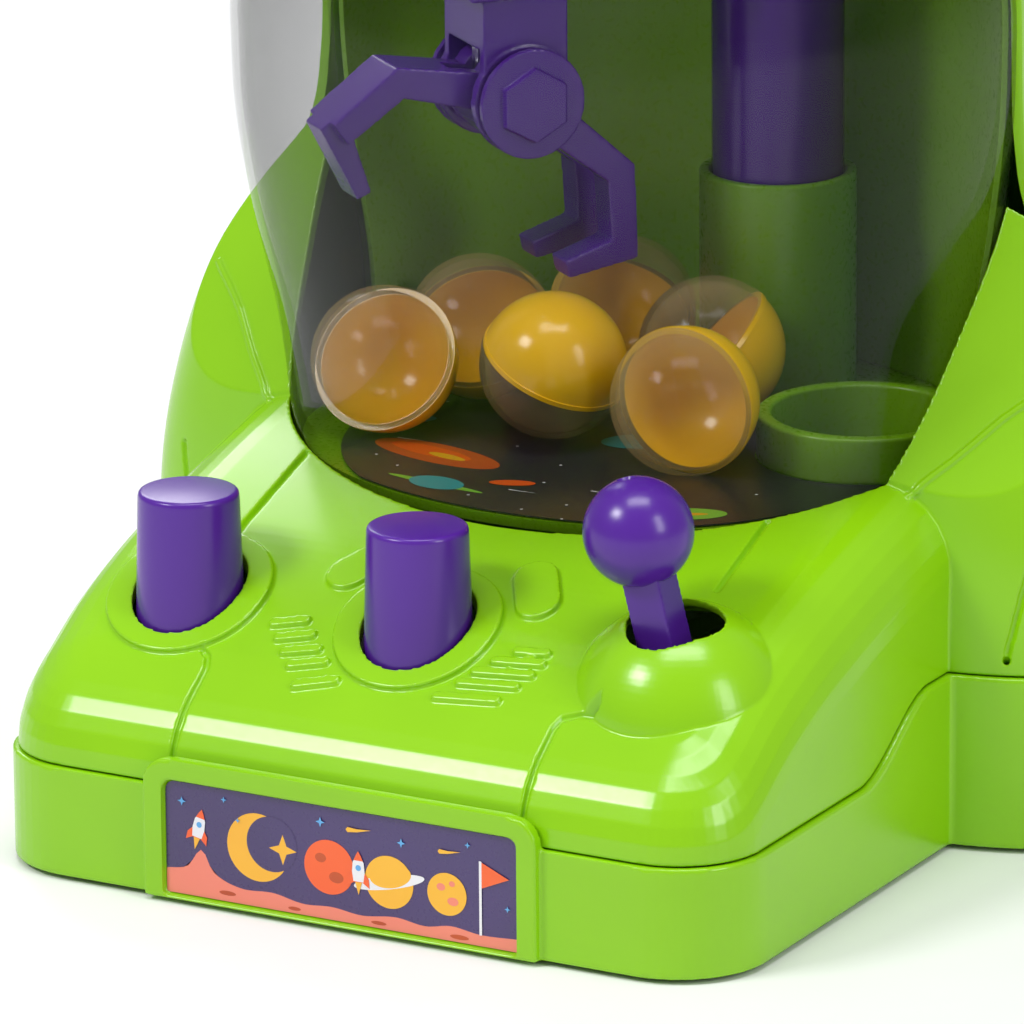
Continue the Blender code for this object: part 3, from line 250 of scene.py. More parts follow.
def soften(obj, voxel, passes, keep=1.0):
    """Remesh a solid evenly and smooth it, which rounds its edges as moulding does."""
    true_form = bpy.data.objects.new("true_form", obj.data.copy())
    bpy.context.scene.collection.objects.link(true_form)
    remesh = obj.modifiers.new("remesh", "REMESH")
    remesh.mode = "VOXEL"
    remesh.voxel_size = voxel * MM
    fit = obj.modifiers.new("fit", "SHRINKWRAP")
    fit.target = true_form
    fit.wrap_method = "NEAREST_SURFACEPOINT"
    relax = obj.modifiers.new("relax", "SMOOTH")
    relax.factor = 0.5
    relax.iterations = passes
    if keep < 1.0:
        thin = obj.modifiers.new("thin", "DECIMATE")
        thin.ratio = keep
    settle(obj)
    discard(true_form)
    return obj


def stand_in(obj, node, angle=35):
    """Give a piece its finish, smooth shading and body, and let it replace a CAD node."""
    slot = SLOT_OF[node]
    obj.data.materials.clear()
    # Pieces inside the dome take the darker green copy, which is painted shade.
    obj.data.materials.append(PAINTED_SHADE_GREEN if node in PAINTED_SHADE_NODES else LOOKS[slot])
    obj.data.shade_smooth()
    obj.data.set_sharp_from_angle(angle=math.radians(angle))
    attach(obj, BODY_OF[node])
    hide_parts(node)
    return obj


def cad_copy(node, name):
    """A new object with a CAD node's shape, its corners welded."""
    obj = bpy.data.objects.new(name, frame["nodes"][node].data.copy())
    bpy.context.scene.collection.objects.link(obj)
    bm = bmesh.new()
    bm.from_mesh(obj.data)
    bmesh.ops.remove_doubles(bm, verts=bm.verts[:], dist=WELD_M)
    bm.to_mesh(obj.data)
    bm.free()
    return obj


def soft_copy(node, name, voxel, passes, keep=1.0):
    return stand_in(soften(cad_copy(node, name), voxel, passes, keep), node)


def loft(name, loops, closed=True):
    """A surface through loops of (x, depth, z) points, capped to a solid when closed."""
    bm = bmesh.new()
    rings = [[bm.verts.new(at(*p)) for p in loop] for loop in loops]
    for low, high in zip(rings, rings[1:]):
        n = len(low)
        for i in range(n):
            bm.faces.new((low[i], low[(i + 1) % n], high[(i + 1) % n], high[i]))
    if closed:
        bm.faces.new(rings[0][::-1])
        bm.faces.new(rings[-1])
    return to_object(name, bm)


def box(name, low, high):
    corners = ((low[0], low[1]), (high[0], low[1]), (high[0], high[1]), (low[0], high[1]))
    return loft(name, [[(x, depth, z) for x, depth in corners] for z in (low[2], high[2])])


def prism(name, outline, span, plane="XZ"):
    """A solid with one outline, drawn in the named plane, between two distances."""
    def place(p, s):
        return {"XZ": (p[0], s, p[1]), "DZ": (s, p[0], p[1]), "XD": (p[0], p[1], s)}[plane]
    return loft(name, [[place(p, s) for p in outline] for s in span])


def circle(centre, r, count=72):
    return [(centre[0] + r * math.cos(2 * math.pi * i / count),
             centre[1] + r * math.sin(2 * math.pi * i / count)) for i in range(count)]


def ball(name, centre, r, segments):
    bm = bmesh.new()
    bmesh.ops.create_uvsphere(bm, u_segments=segments, v_segments=segments // 2, radius=r * MM)
    bmesh.ops.translate(bm, vec=at(*centre), verts=bm.verts)
    return to_object(name, bm)


def disc(name, centre, r, low, high, count=72):
    """A round upright post from low to high."""
    return prism(name, circle(centre, r, count), (low, high), "XD")


def fillet(points, r, closed):
    """Round the corners of an outline."""
    out = []
    n = len(points)
    for i, p in enumerate(points):
        if not closed and i in (0, n - 1):
            out.append(p)
            continue
        before, after = Vector(points[i - 1]), Vector(points[(i + 1) % n])
        corner = Vector(p)
        back, on = before - corner, after - corner
        reach = min(r, back.length * FILLET_SHARE, on.length * FILLET_SHARE)
        a, b = corner + back.normalized() * reach, corner + on.normalized() * reach
        for k in range(FILLET_STEPS + 1):
            t = k / FILLET_STEPS
            out.append(tuple((1 - t) ** 2 * a + 2 * t * (1 - t) * corner + t * t * b))
    return out


def lathe(name, profile, centre=(0.0, 0.0), round_r=0.0, steps=96):
    """Turn an outline of (radius, z) about a vertical line at (x, depth)."""
    closed = not (profile[0][0] == 0 and profile[-1][0] == 0)
    outline = fillet(profile, round_r, closed) if round_r else profile
    bm = bmesh.new()
    rings = []
    for i in range(steps):
        a = 2 * math.pi * i / steps
        rings.append([bm.verts.new((r * math.cos(a) * MM, r * math.sin(a) * MM, z * MM))
                      for r, z in outline])
    count = len(outline)
    for i in range(steps):
        here, there = rings[i], rings[(i + 1) % steps]
        for k in range(count if closed else count - 1):
            j = (k + 1) % count
            bm.faces.new((here[k], there[k], there[j], here[j]))
    bmesh.ops.remove_doubles(bm, verts=bm.verts[:], dist=FINE_M)
    obj = to_object(name, bm)
    obj.data.transform(Matrix.Translation(at(centre[0], centre[1], 0)))
    return obj


def tube(name, points, r, sides=10):
    """A round wire along a path given in metres."""
    bm = bmesh.new()
    rings = []
    for i, p in enumerate(points):
        ahead = (points[min(i + 1, len(points) - 1)] - points[max(i - 1, 0)]).normalized()
        side = ahead.cross(Vector((0, 0, 1))).normalized()
        rise = side.cross(ahead)
        rings.append([bm.verts.new(p + (side * math.cos(2 * math.pi * k / sides)
                                        + rise * math.sin(2 * math.pi * k / sides)) * r * MM)
                      for k in range(sides)])
    for a, b in zip(rings, rings[1:]):
        for k in range(sides):
            bm.faces.new((a[k], a[(k + 1) % sides], b[(k + 1) % sides], b[k]))
    bm.faces.new(rings[0][::-1])
    bm.faces.new(rings[-1])
    return to_object(name, bm)


def turn_about(obj, point, axis, degrees):
    centre = at(*point)
    obj.data.transform(Matrix.Translation(centre)
                       @ Matrix.Rotation(math.radians(degrees), 4, axis)
                       @ Matrix.Translation(-centre))
    return obj


def ease_rows(rows, x):
    """Smooth interpolation in a rising list of (x, value, ...) rows."""
    if x <= rows[0][0]:
        return list(rows[0][1:])
    if x >= rows[-1][0]:
        return list(rows[-1][1:])
    i = max(k for k in range(len(rows) - 1) if rows[k][0] <= x)
    low, high = rows[i], rows[i + 1]
    before, after = rows[max(i - 1, 0)], rows[min(i + 2, len(rows) - 1)]
    width = high[0] - low[0]
    t = (x - low[0]) / width
    out = []
    for b, p, q, a in zip(before[1:], low[1:], high[1:], after[1:]):
        m0 = (q - b) / (high[0] - before[0]) * width
        m1 = (a - p) / (after[0] - low[0]) * width
        out.append((2 * t ** 3 - 3 * t ** 2 + 1) * p + (t ** 3 - 2 * t ** 2 + t) * m0
                   + (3 * t ** 2 - 2 * t ** 3) * q + (t ** 3 - t ** 2) * m1)
    return out


# --- the big forms, finer than in the CAD ---------------------------------------
DECK_TOP = [(0, 44.2), (12, 45.0), (20, 48.8), (33, 56.6), (48, 63.2), (63, 68.0),
            (82, 73.2), (105, 78.5), (125, 82.5)]  # depth, z
DECK_HALF, DECK_FRONT, DECK_BACK, DECK_RIM_R = 86.8, 1.2, 125.0, 18.8
RIM_STEPS, RIM_WELD = 8, 0.02
BLOCK_HALF, BLOCK_CORNER_R, BLOCK_BACK = 88.0, 20.0, 140.0
SIDE_STEPS, CORNER_STEPS = 36, 12
RAMP_START, RAMP_RUN, RAMP_STEPS = 64.0, 32.0, 24
FACET_NORMAL, FACET_POINT = (316.0, -1220.0, 822.0), (79.0, 105.0, 76.0)
FACET_SLAB = ((-150, -40, 0), (150, 260, 120))
WING_TOP = 134.0
# z, half width, centre's depth, reach and squareness in front, then behind
DRUM_LEVELS = [
    (30.0, 117.8, 148.0, 46.0, 4.5, 72.8, 3.4),
    (50.0, 117.4, 148.0, 46.0, 4.4, 72.6, 3.4),
    (63.0, 116.4, 148.0, 45.7, 4.2, 72.4, 3.3),
    (76.0, 114.2, 147.5, 44.6, 3.9, 72.0, 3.2),
    (89.0, 110.6, 146.0, 42.5, 3.6, 72.4, 3.1),
    (102.0, 105.6, 144.0, 40.2, 3.2, 73.0, 2.9),
    (116.0, 97.4, 139.0, 36.0, 2.8, 76.4, 2.6),
    (130.0, 88.6, 133.0, 40.0, 2.3, 81.4, 2.3),
    (146.0, 86.2, 129.0, 60.0, 2.0, 85.6, 2.1),
    (168.0, 86.0, 127.0, 86.0, 2.0, 88.0, 2.0),
]
# z, half width, reach in front
DOME_LEVELS = [(40.0, 76.0, 59.0), (66.0, 76.4, 59.6), (74.0, 76.6, 61.2), (88.0, 77.0, 65.4),
               (103.0, 78.2, 70.2), (125.0, 81.8, 77.6), (148.0, 84.4, 83.8), (168.0, 85.0, 85.0)]
LEVEL_STEP = 3.0
CROWN = [3 * k for k in range(1, 26)]  # degrees above the ball's middle
AROUND = 180


def super_loop(z, half, centre, front, front_power, back, back_power):
    """A level loop of a superellipse whose front and back differ in reach and squareness."""
    loop = []
    for i in range(AROUND):
        t = 2 * math.pi * i / AROUND
        reach, power = (back, back_power) if math.sin(t) > 0 else (front, front_power)
        c, s = math.cos(t), math.sin(t)
        loop.append((half * math.copysign(abs(c) ** (2 / power), c),
                     centre + reach * math.copysign(abs(s) ** (2 / power), s), z))
    return loop


def levels(low, high):
    """Even heights, about LEVEL_STEP apart."""
    count = max(1, round((high - low) / LEVEL_STEP))
    return [low + (high - low) * i / count for i in range(count + 1)]


def drum_form(name, inset, low_z, high_z=None, closed=True):
    """The rear body, up to high_z or with its crown."""
    loops = []
    for z in levels(low_z, high_z or BALL_CENTRE[1]):
        w, c, f, fp, b, bp = ease_rows(DRUM_LEVELS, z)
        loops.append(super_loop(z, w - inset, c, f - inset, fp, b - inset, bp))
    if high_z is None:
        _, w, c, f, _, b, _ = DRUM_LEVELS[-1]
        for angle in CROWN:
            a = math.radians(angle)
            z, k = BALL_CENTRE[1] + (DOME_RISE - inset) * math.sin(a), math.cos(a)
            loops.append(super_loop(z, (w - inset) * k, c, (f - inset) * k, 2.0,
                                    (b - inset) * k, 2.0))
    return loft(name, loops, closed)


def dome_loop(z, inset):
    half, reach = ease_rows(DOME_LEVELS, z)
    return super_loop(z, half - inset, BALL_CENTRE[0], reach - inset, 2.0, DOME_R - inset, 2.0)


def dome_form(name, inset, low_z, closed=True):
    """The bubble, a ball that narrows in front towards the play floor."""
    loops = [dome_loop(z, inset) for z in levels(low_z, BALL_CENTRE[1])]
    for angle in CROWN:
        t = math.radians(angle)
        z, r = BALL_CENTRE[1] + (DOME_RISE - inset) * math.sin(t), (DOME_R - inset) * math.cos(t)
        loops.append(super_loop(z, r, BALL_CENTRE[0], r, 2.0, r, 2.0))
    return loft(name, loops, closed)


def round_front(half, front, corner_r, back, z):
    """A plan outline: two round front corners and straight sides running back."""
    side = [back - (back - front - corner_r) * i / SIDE_STEPS for i in range(SIDE_STEPS)]
    points = [(half, d, z) for d in side]
    for i in range(CORNER_STEPS + 1):
        a = math.radians(90 * i / CORNER_STEPS)
        points.append((half - corner_r + corner_r * math.cos(a),
                       front + corner_r - corner_r * math.sin(a), z))
    points += [(-x, d, z) for x, d, _ in reversed(points)]
    return points


def block_form(name, inset, low, high):
    """The skirt's front block."""
    loops = [round_front(BLOCK_HALF - inset, inset, BLOCK_CORNER_R - inset, BLOCK_BACK, z)
             for z in (low, high)]
    return loft(name, loops)


def deck_form(name, inset, low_z):
    """The sloping console block with its rounded rim."""
    half, front, back = DECK_HALF - inset, DECK_FRONT + inset, DECK_BACK + inset
    rim, level = DECK_RIM_R - inset, DECK_TOP[0][1] - inset
    loops = [round_front(half, front, rim, back, low_z)]
    for i in range(RIM_STEPS + 1):
        a = math.radians(90 * i / RIM_STEPS)
        draw = rim * (1 - math.cos(a))
        loops.append(round_front(half - draw, front + draw, max(rim - draw, 0.01), back,
                                 level - rim + rim * math.sin(a)))
    for loop in loops[1:]:
        for i, (x, d, z) in enumerate(loop):
            loop[i] = (x, d, z + ease_rows(DECK_TOP, d)[0] - DECK_TOP[0][1])
    bm = bmesh.new()
    rings = [[bm.verts.new(at(*p)) for p in loop] for loop in loops]
    n = len(rings[0])
    for low, high in zip(rings, rings[1:]):
        for i in range(n):
            bm.faces.new((low[i], low[(i + 1) % n], high[(i + 1) % n], high[i]))
    bm.faces.new(rings[0][::-1])
    top = rings[-1]
    for i in range(n // 2 - 1):
        bm.faces.new((top[i], top[i + 1], top[n - 2 - i], top[n - 1 - i]))
    bmesh.ops.remove_doubles(bm, verts=bm.verts[:], dist=RIM_WELD * MM)
    return to_object(name, bm)


def skirt_step(offset):
    """The side view's ramp from the front skirt's top edge up to the rear one's."""
    points = []
    for i in range(RAMP_STEPS + 1):
        t = i / RAMP_STEPS
        ease = t * t * (3 - 2 * t)
        points.append((RAMP_START + RAMP_RUN * t,
                       SKIRT_TOP_FRONT + (SKIRT_TOP_REAR - SKIRT_TOP_FRONT) * ease + offset))
    return points


def facet(side, lower):
    """A slab over a wing's sloping face, to cut the wing down to that face."""
    normal = Vector((FACET_NORMAL[0] * side, *FACET_NORMAL[1:])).normalized()
    slab = box("facet", *FACET_SLAB)
    point = at(FACET_POINT[0] * side, *FACET_POINT[1:]) - normal * lower * MM
    facing = normal.to_track_quat("Z", "Y").to_matrix().to_4x4()
    slab.data.transform(Matrix.Translation(point) @ facing)
    return slab


def wing_form(name, inset, low_z):
    form = drum_form(name, inset, low_z, high_z=WING_TOP + inset)
    return cut(form, facet(-1, inset), facet(1, inset))


# --- control deck ---------------------------------------------------------------
PILL_STEPS = 10
PAD_SPAN, PAD_TOP_FROM = (35, 100), 30.0
GROOVE_SPAN, GROOVE_FLOOR_FROM = (28, 100), 20.0
COLLAR_R, COLLAR_RISE, COLLAR_REACH, COLLAR_SLOPE, COLLAR_TOP_FROM = 18.2, 1.5, 9, 0.53, 25.0
MOUND_CENTRE, MOUND_R, MOUND_INNER_R = (JOY[0], 39.8, 44.3), 23.7, 22.2
HOLE_R, HOLE_WAVE, HOLE_DEPTH = 10.2, 0.55, 35.5
BOSS, BOSS_SIZE, BOSS_TURN, BOSS_RISE = (20.2, 47.2), (18.5, 9.4), 32, 1.2
SLAT_RISE = 1.1
LEFT_SLATS = ((-28.3, 28.6, 9.0), (-25.4, 25.6, 9.2), (-22.3, 22.7, 9.2), (-19.2, 20.0, 9.4),
              (-15.2, 16.2, 10.5))  # x, depth, length
RIGHT_SLATS = ((28.2, 30.4, 8.5), (26.4, 27.7, 12.5), (24.4, 24.8, 14.5), (22.5, 21.8, 14.5),
               (19.5, 18.0, 15.5))
SEAM_WIDTH, SEAM_DEPTH = 1.3, 1.0
SEAMS = (
    [(-55.4, 84), (-54.6, 70), (-53.9, 50.5)],
    [(-44.5, 19.9), (-42.6, 18.9), (-41.3, 16.5), (-41.4, 9), (-41.5, -2)],
    [(55.3, 84), (56.6, 70), (57.6, 56)],
    [(50.5, 19.3), (46.0, 19.2), (42.4, 17.8), (41.5, 15.5), (41.4, 9), (41.5, -2)],
)
WING_RIDGE = ((76.8, 104.6, 75.2), (80.5, 108.5, 79.0), (84.5, 111.3, 82.8), (88.5, 114.8, 87.0),
              (92.5, 118.8, 91.3), (96.5, 122.0, 94.6), (100.0, 125.5, 96.8), (102.5, 130.0, 97.8))
WING_GROOVE = ((101.6, 113.4, 62.0), (100.2, 112.6, 55.6), (99.2, 111.9, 50.0),
               (97.9, 111.3, 44.0), (97.5, 111.2, 39.6))
WING_LINE_R, WING_LINE_STEPS = 0.8, 6
PLUNGER_HOLE_R = 12.2
DECK_POST, DECK_POST_DROP = (80.0, 60.0), 10.9
DECK_VOXEL = 0.42


def pill(centre, length, width, angle):
    """A slot outline in plan."""
    a = math.radians(angle)
    along = Vector((math.cos(a), math.sin(a)))
    points = []
    for sign in (1, -1):
        middle = Vector(centre) + along * sign * (length - width) / 2
        start = a - math.pi / 2 + (0 if sign > 0 else math.pi)
        for i in range(PILL_STEPS + 1):
            t = start + math.pi * i / PILL_STEPS
            points.append((middle.x + width / 2 * math.cos(t),
                           middle.y + width / 2 * math.sin(t)))
    return points


def ribbon(points, width):
    """A band of even width along a plan path."""
    left, right = [], []
    for i, p in enumerate(points):
        a = Vector(points[max(i - 1, 0)])
        b = Vector(points[min(i + 1, len(points) - 1)])
        side = (b - a).normalized().orthogonal() * width / 2
        left.append(tuple(Vector(p) + side))
        right.append(tuple(Vector(p) - side))
    return left + right[::-1]


def raised(outline, height):
    """A pad that stands off the deck by height and follows its slope."""
    pad = prism("pad", outline, PAD_SPAN, "XD")
    return boolean(pad, deck_form("pad_top", -height, PAD_TOP_FROM), "INTERSECT")


def groove(outline, deep):
    """What to cut away for a groove that follows the deck's slope."""
    strip = prism("groove", outline, GROOVE_SPAN, "XD")
    return boolean(strip, deck_form("groove_floor", deep, GROOVE_FLOOR_FROM))


def surface_line(name, path, side, surface):
    """A round bar whose middle follows a surface."""
    control = [at(side * x, depth, z) for x, depth, z in path]
    points = []
    for a, b in zip(control, control[1:]):
        points += [a.lerp(b, k / WING_LINE_STEPS) for k in range(WING_LINE_STEPS)]
    return tube(name, [surface.find_nearest(p)[0] for p in points], WING_LINE_R, 16)


def build_deck():
    """The console and wings as one solid block with every raised and sunk detail."""
    deck = deck_form("deck", 0.0, SKIRT_TOP_FRONT + GAP)
    join(deck, wing_form("wing_outer", 0.0, SKIRT_TOP_REAR + GAP))
    lean = math.degrees(math.atan(COLLAR_SLOPE))
    for x in PLUNGER_XS.values():
        level = ease_rows(DECK_TOP, PLUNGER_DEPTH)[0]
        collar = disc("collar", (x, PLUNGER_DEPTH), COLLAR_R, level - COLLAR_REACH,
                      level + COLLAR_REACH)
        turn_about(collar, (x, PLUNGER_DEPTH, level), "X", lean)
        collar_top = deck_form("collar_top", -COLLAR_RISE, COLLAR_TOP_FROM)
        join(deck, boolean(collar, collar_top, "INTERSECT"))
    join(deck, ball("mound", MOUND_CENTRE, MOUND_R, 96))
    bosses = [pill((side * BOSS[0], BOSS[1]), *BOSS_SIZE, 90 + side * BOSS_TURN)
              for side in (1, -1)]
    join(deck, *[raised(boss, BOSS_RISE) for boss in bosses])
    for slats, width, angle in ((LEFT_SLATS, 1.9, 15), (RIGHT_SLATS, 1.7, 5)):
        for x, depth, length in slats:
            join(deck, raised(pill((x, depth), length, width, angle), SLAT_RISE))
    surface = BVHTree.FromObject(deck, bpy.context.evaluated_depsgraph_get())
    for side in (-1, 1):
        join(deck, surface_line("ridge", WING_RIDGE, side, surface))
        cut(deck, surface_line("wing_groove", WING_GROOVE, side, surface))
    for path in SEAMS:
        cut(deck, groove(ribbon(path, SEAM_WIDTH), SEAM_DEPTH))
    return deck


def outlet(low, high):
    """The prize outlet's opening, as a block to cut away."""
    return box("outlet", (100, OUTLET_DEPTH[0], low), (130, OUTLET_DEPTH[1], high))


def stick_hole():
    """The hole in the mound, with a soft wave in its lip."""
    outline = []
    for i in range(96):
        t = 2 * math.pi * i / 96
        r = HOLE_R + HOLE_WAVE * math.sin(3 * t + 0.5)
        outline.append((JOY[0] + r * math.cos(t), HOLE_DEPTH + r * math.sin(t)))
    return prism("stick_hole", outline, (40, 95), "XD")


def build_control_deck():
    """The console as a shell, open below and at its joint with the rear."""
    deck = build_deck()
    cut(deck, deck_form("deck_inner", WALL - 0.2, SKIRT_TOP_FRONT - 20),
        wing_form("wing_inner", WALL, SKIRT_TOP_FRONT - 10),
        ball("mound_inner", MOUND_CENTRE, MOUND_INNER_R, 48),
        dome_form("dome_seat", -GAP, DOME_LEVELS[0][0]))
    below = [(-30, 0), (-30, SKIRT_TOP_FRONT + GAP)] + skirt_step(GAP)
    below += [(125, SKIRT_TOP_REAR + GAP), (125, 0)]
    cut(deck, prism("under_skirt", below, (-100, 100), "DZ"), stick_hole(),
        box("behind_joint", (-150, JOINT_DEPTH - GAP / 2, 0), (150, 260, 300)),
        outlet(30, OUTLET_Z[1]))
    for x in PLUNGER_XS.values():
        cut(deck, disc("plunger_hole", (x, PLUNGER_DEPTH), PLUNGER_HOLE_R, 30, 90))
    post_top = ease_rows(DECK_TOP, DECK_POST[1])[0] - DECK_POST_DROP
    for side in (-1, 1):
        join(deck, disc("post", (side * DECK_POST[0], DECK_POST[1]), POST_R, POST_FOOT, post_top,
                        32))
    soften(deck, DECK_VOXEL, 2, 0.4)
    return stand_in(deck, "control_deck", angle=60)


# --- shells -----------------------------------------------------------------------
LUG_X, LUG_HALF, LUG_DEPTHS, LUG_Z = 8.25, 1.75, (164.2, 171.0), (244, 261.0)
SHELL_POST = (109.3, 180.0)
LINER_INSET, LINER_WALL, LINER_TOP = 2.2, 1.3, 238.0
SKIRT_HALF = 119.0
TRAY_BOTTOM, TRAY_FLOOR, TRAY_VOXEL = 1.0, 2.5, 0.7
PANEL_HALF, PANEL_TOP, PANEL_CORNER_R = 46.5, 31.5, 6.0
RECESS_HALF, RECESS_Z = 42.0, (1.8, 27.0)
AXLE_POST_XS, AXLE, AXLE_BORE_R = (-63.0, 12.7), (92.8, 28.0), 2.3
RACK_ROOM = 0.8              # more than GAP, since softening fills the rail's inner corner
RAIL_X, RAIL_TOP, LIP_BOTTOM = (-32, 52), 13, 11.3


def trim(obj, point, normal):
    """Cut a surface with a plane and drop the side that the normal points to."""
    bm = bmesh.new()
    bm.from_mesh(obj.data)
    bmesh.ops.bisect_plane(bm, geom=bm.verts[:] + bm.edges[:] + bm.faces[:], dist=FINE_M,
                           plane_co=at(*point), plane_no=normal, clear_outer=True)
    bm.to_mesh(obj.data)
    bm.free()
    return obj


def thicken(obj, wall, rounded):
    """Turn a surface into a wall that lies inside it, with softened edges."""
    solid = obj.modifiers.new("wall", "SOLIDIFY")
    solid.thickness = wall * MM
    solid.offset = -1
    solid.use_even_offset = True
    edge = obj.modifiers.new("edge", "BEVEL")
    edge.width = rounded * MM
    edge.segments = 3
    edge.limit_method = "ANGLE"
    edge.angle_limit = math.radians(50)
    return settle(obj)


def build_dome():
    dome = dome_form("dome", 0.0, DOME_BOTTOM, closed=False)
    trim(dome, (0, JOINT_DEPTH - GAP / 2, 0), (0, 1, 0))
    trim(dome, (0, 0, LID_SEAT_Z), (0, 0, 1))
    return stand_in(thicken(dome, DOME_WALL, 0.3), "clear_dome")


def build_back_shell():
    shell = drum_form("rear_shell", 0.0, SKIRT_TOP_REAR + GAP, closed=False)
    trim(shell, (0, JOINT_DEPTH + GAP / 2, 0), (0, -1, 0))
    trim(shell, (0, 0, LID_SEAT_Z), (0, 0, 1))
    thicken(shell, WALL, 0.4)
    cut(shell, outlet(30, OUTLET_Z[1]))
    for side in (-1, 1):
        middle = side * LUG_X
        lug = box("lug", (middle - LUG_HALF, LUG_DEPTHS[0], LUG_Z[0]),
                  (middle + LUG_HALF, LUG_DEPTHS[1], LUG_Z[1]))
        join(shell, lug, disc("post", (side * SHELL_POST[0], SHELL_POST[1]), POST_R, POST_FOOT,
                              60, 32))
    return stand_in(shell, "back_shell")


def build_liner():
    liner = dome_form("liner", LINER_INSET, FLOOR_TOP + GAP, closed=False)
    trim(liner, (0, JOINT_DEPTH + 0.6, 0), (0, -1, 0))
    trim(liner, (0, 0, LINER_TOP), (0, 0, 1))
    return stand_in(thicken(liner, LINER_WALL, 0.3), "play_area_liner")


def arch_outline(half, bottom, top, corner_r):
    """An upright outline with square lower corners and round upper ones."""
    outline = [(-half, bottom), (half, bottom)]
    for side, start in ((1, 0), (-1, 90)):
        for angle in range(start, start + 91, 10):
            a = math.radians(angle)
            outline.append((side * (half - corner_r) + corner_r * math.cos(a),
                            top - corner_r + corner_r * math.sin(a)))
    return outline


def build_tray():
    """The skirt with its floor, label frame, axle posts and the rack's rail."""
    def drum_block(inset, low, high):
        _, w, c, f, fp, b, bp = DRUM_LEVELS[0]
        grow = SKIRT_HALF - w - inset
        return loft("drum", [super_loop(z, w + grow, c, f + grow - 0.2, fp, b + grow, bp)
                             for z in (low, high)])

    tray = block_form("tray", 0.0, TRAY_BOTTOM, SKIRT_TOP_REAR)
    step = [(-20, 80), (-20, SKIRT_TOP_FRONT)] + skirt_step(0)
    step += [(150, SKIRT_TOP_REAR), (150, 80)]
    cut(tray, prism("step", step, (-100, 100), "DZ"))
    panel_frame = arch_outline(PANEL_HALF, TRAY_BOTTOM, PANEL_TOP, PANEL_CORNER_R)
    join(tray, drum_block(0, TRAY_BOTTOM, SKIRT_TOP_REAR),
         prism("panel_frame", panel_frame, (-2.0, 0.9)))
    for low, high in ((4.5, 60.0), (-1.0, TRAY_FLOOR)):
        cut(tray, block_form("room", WALL, low, high), drum_block(WALL, low, high))
    cut(tray, prism("recess", arch_outline(RECESS_HALF, *RECESS_Z, 2.5), (-4, -0.1)),
        outlet(OUTLET_Z[0], 60))
    for x in AXLE_POST_XS:
        post = box("axle_post", (x, AXLE[0] - 5, TRAY_FLOOR), (x + 3, AXLE[0] + 5, AXLE[1] + 5))
        cut(post, prism("post_bore", circle(AXLE, AXLE_BORE_R, 24), (x - 2, x + 5), "DZ"))
        join(tray, post)
    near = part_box("steering_rack")[1][1] / MM + FRONT_TO_ORIGIN + RACK_ROOM
    join(tray, box("rail", (RAIL_X[0], near, TRAY_FLOOR), (RAIL_X[1], near + 3, RAIL_TOP)),
         box("rail_lip", (RAIL_X[0], near - 3.5, LIP_BOTTOM), (RAIL_X[1], near + 1, RAIL_TOP)))
    soften(tray, TRAY_VOXEL, 2, 0.4)
    return stand_in(tray, "base_tray", angle=60)


# --- turned pieces ------------------------------------------------------------------
CHUTE_RIM_Z, SOCKET_TOP, TUBE_TOP = 81.5, 120.5, 167.7
FEET = ((-70, 18), (70, 18), (-88, 196), (88, 196))
KNUCKLE_R, LID_BORE_R = 3.0, 1.4
FLOOR_WALL = 2.4
# x, depth, then degrees: tilt of the clear half from upright, turn about the vertical
CAPSULES = ((-51.1, 109.4, 56, 3), (-16.5, 122.0, 153, -98), (21.4, 110.7, 93, -2),
            (8.0, 148.5, 48, -60), (-25.0, 169.5, 30, 60), (-45.5, 141.5, 40, 10))
CAPSULE_R, CAPSULE_INNER_R, CAPSULE_Z = 16.0, 14.8, 87.9
SEAM_GAP, LIP_R, LIP_CLEAR_Z = 0.12, 16.25, 1.6
SPRING_R, SPRING_WIRE_R, SPRING_SEAT, SPRING_LENGTH = 6.4, 0.5, 39.1, 35.9
SPRING_TURNS, TURN_STEPS = 7, 28
KNOB_R, KNOB_RISE = 11.5, 33.3


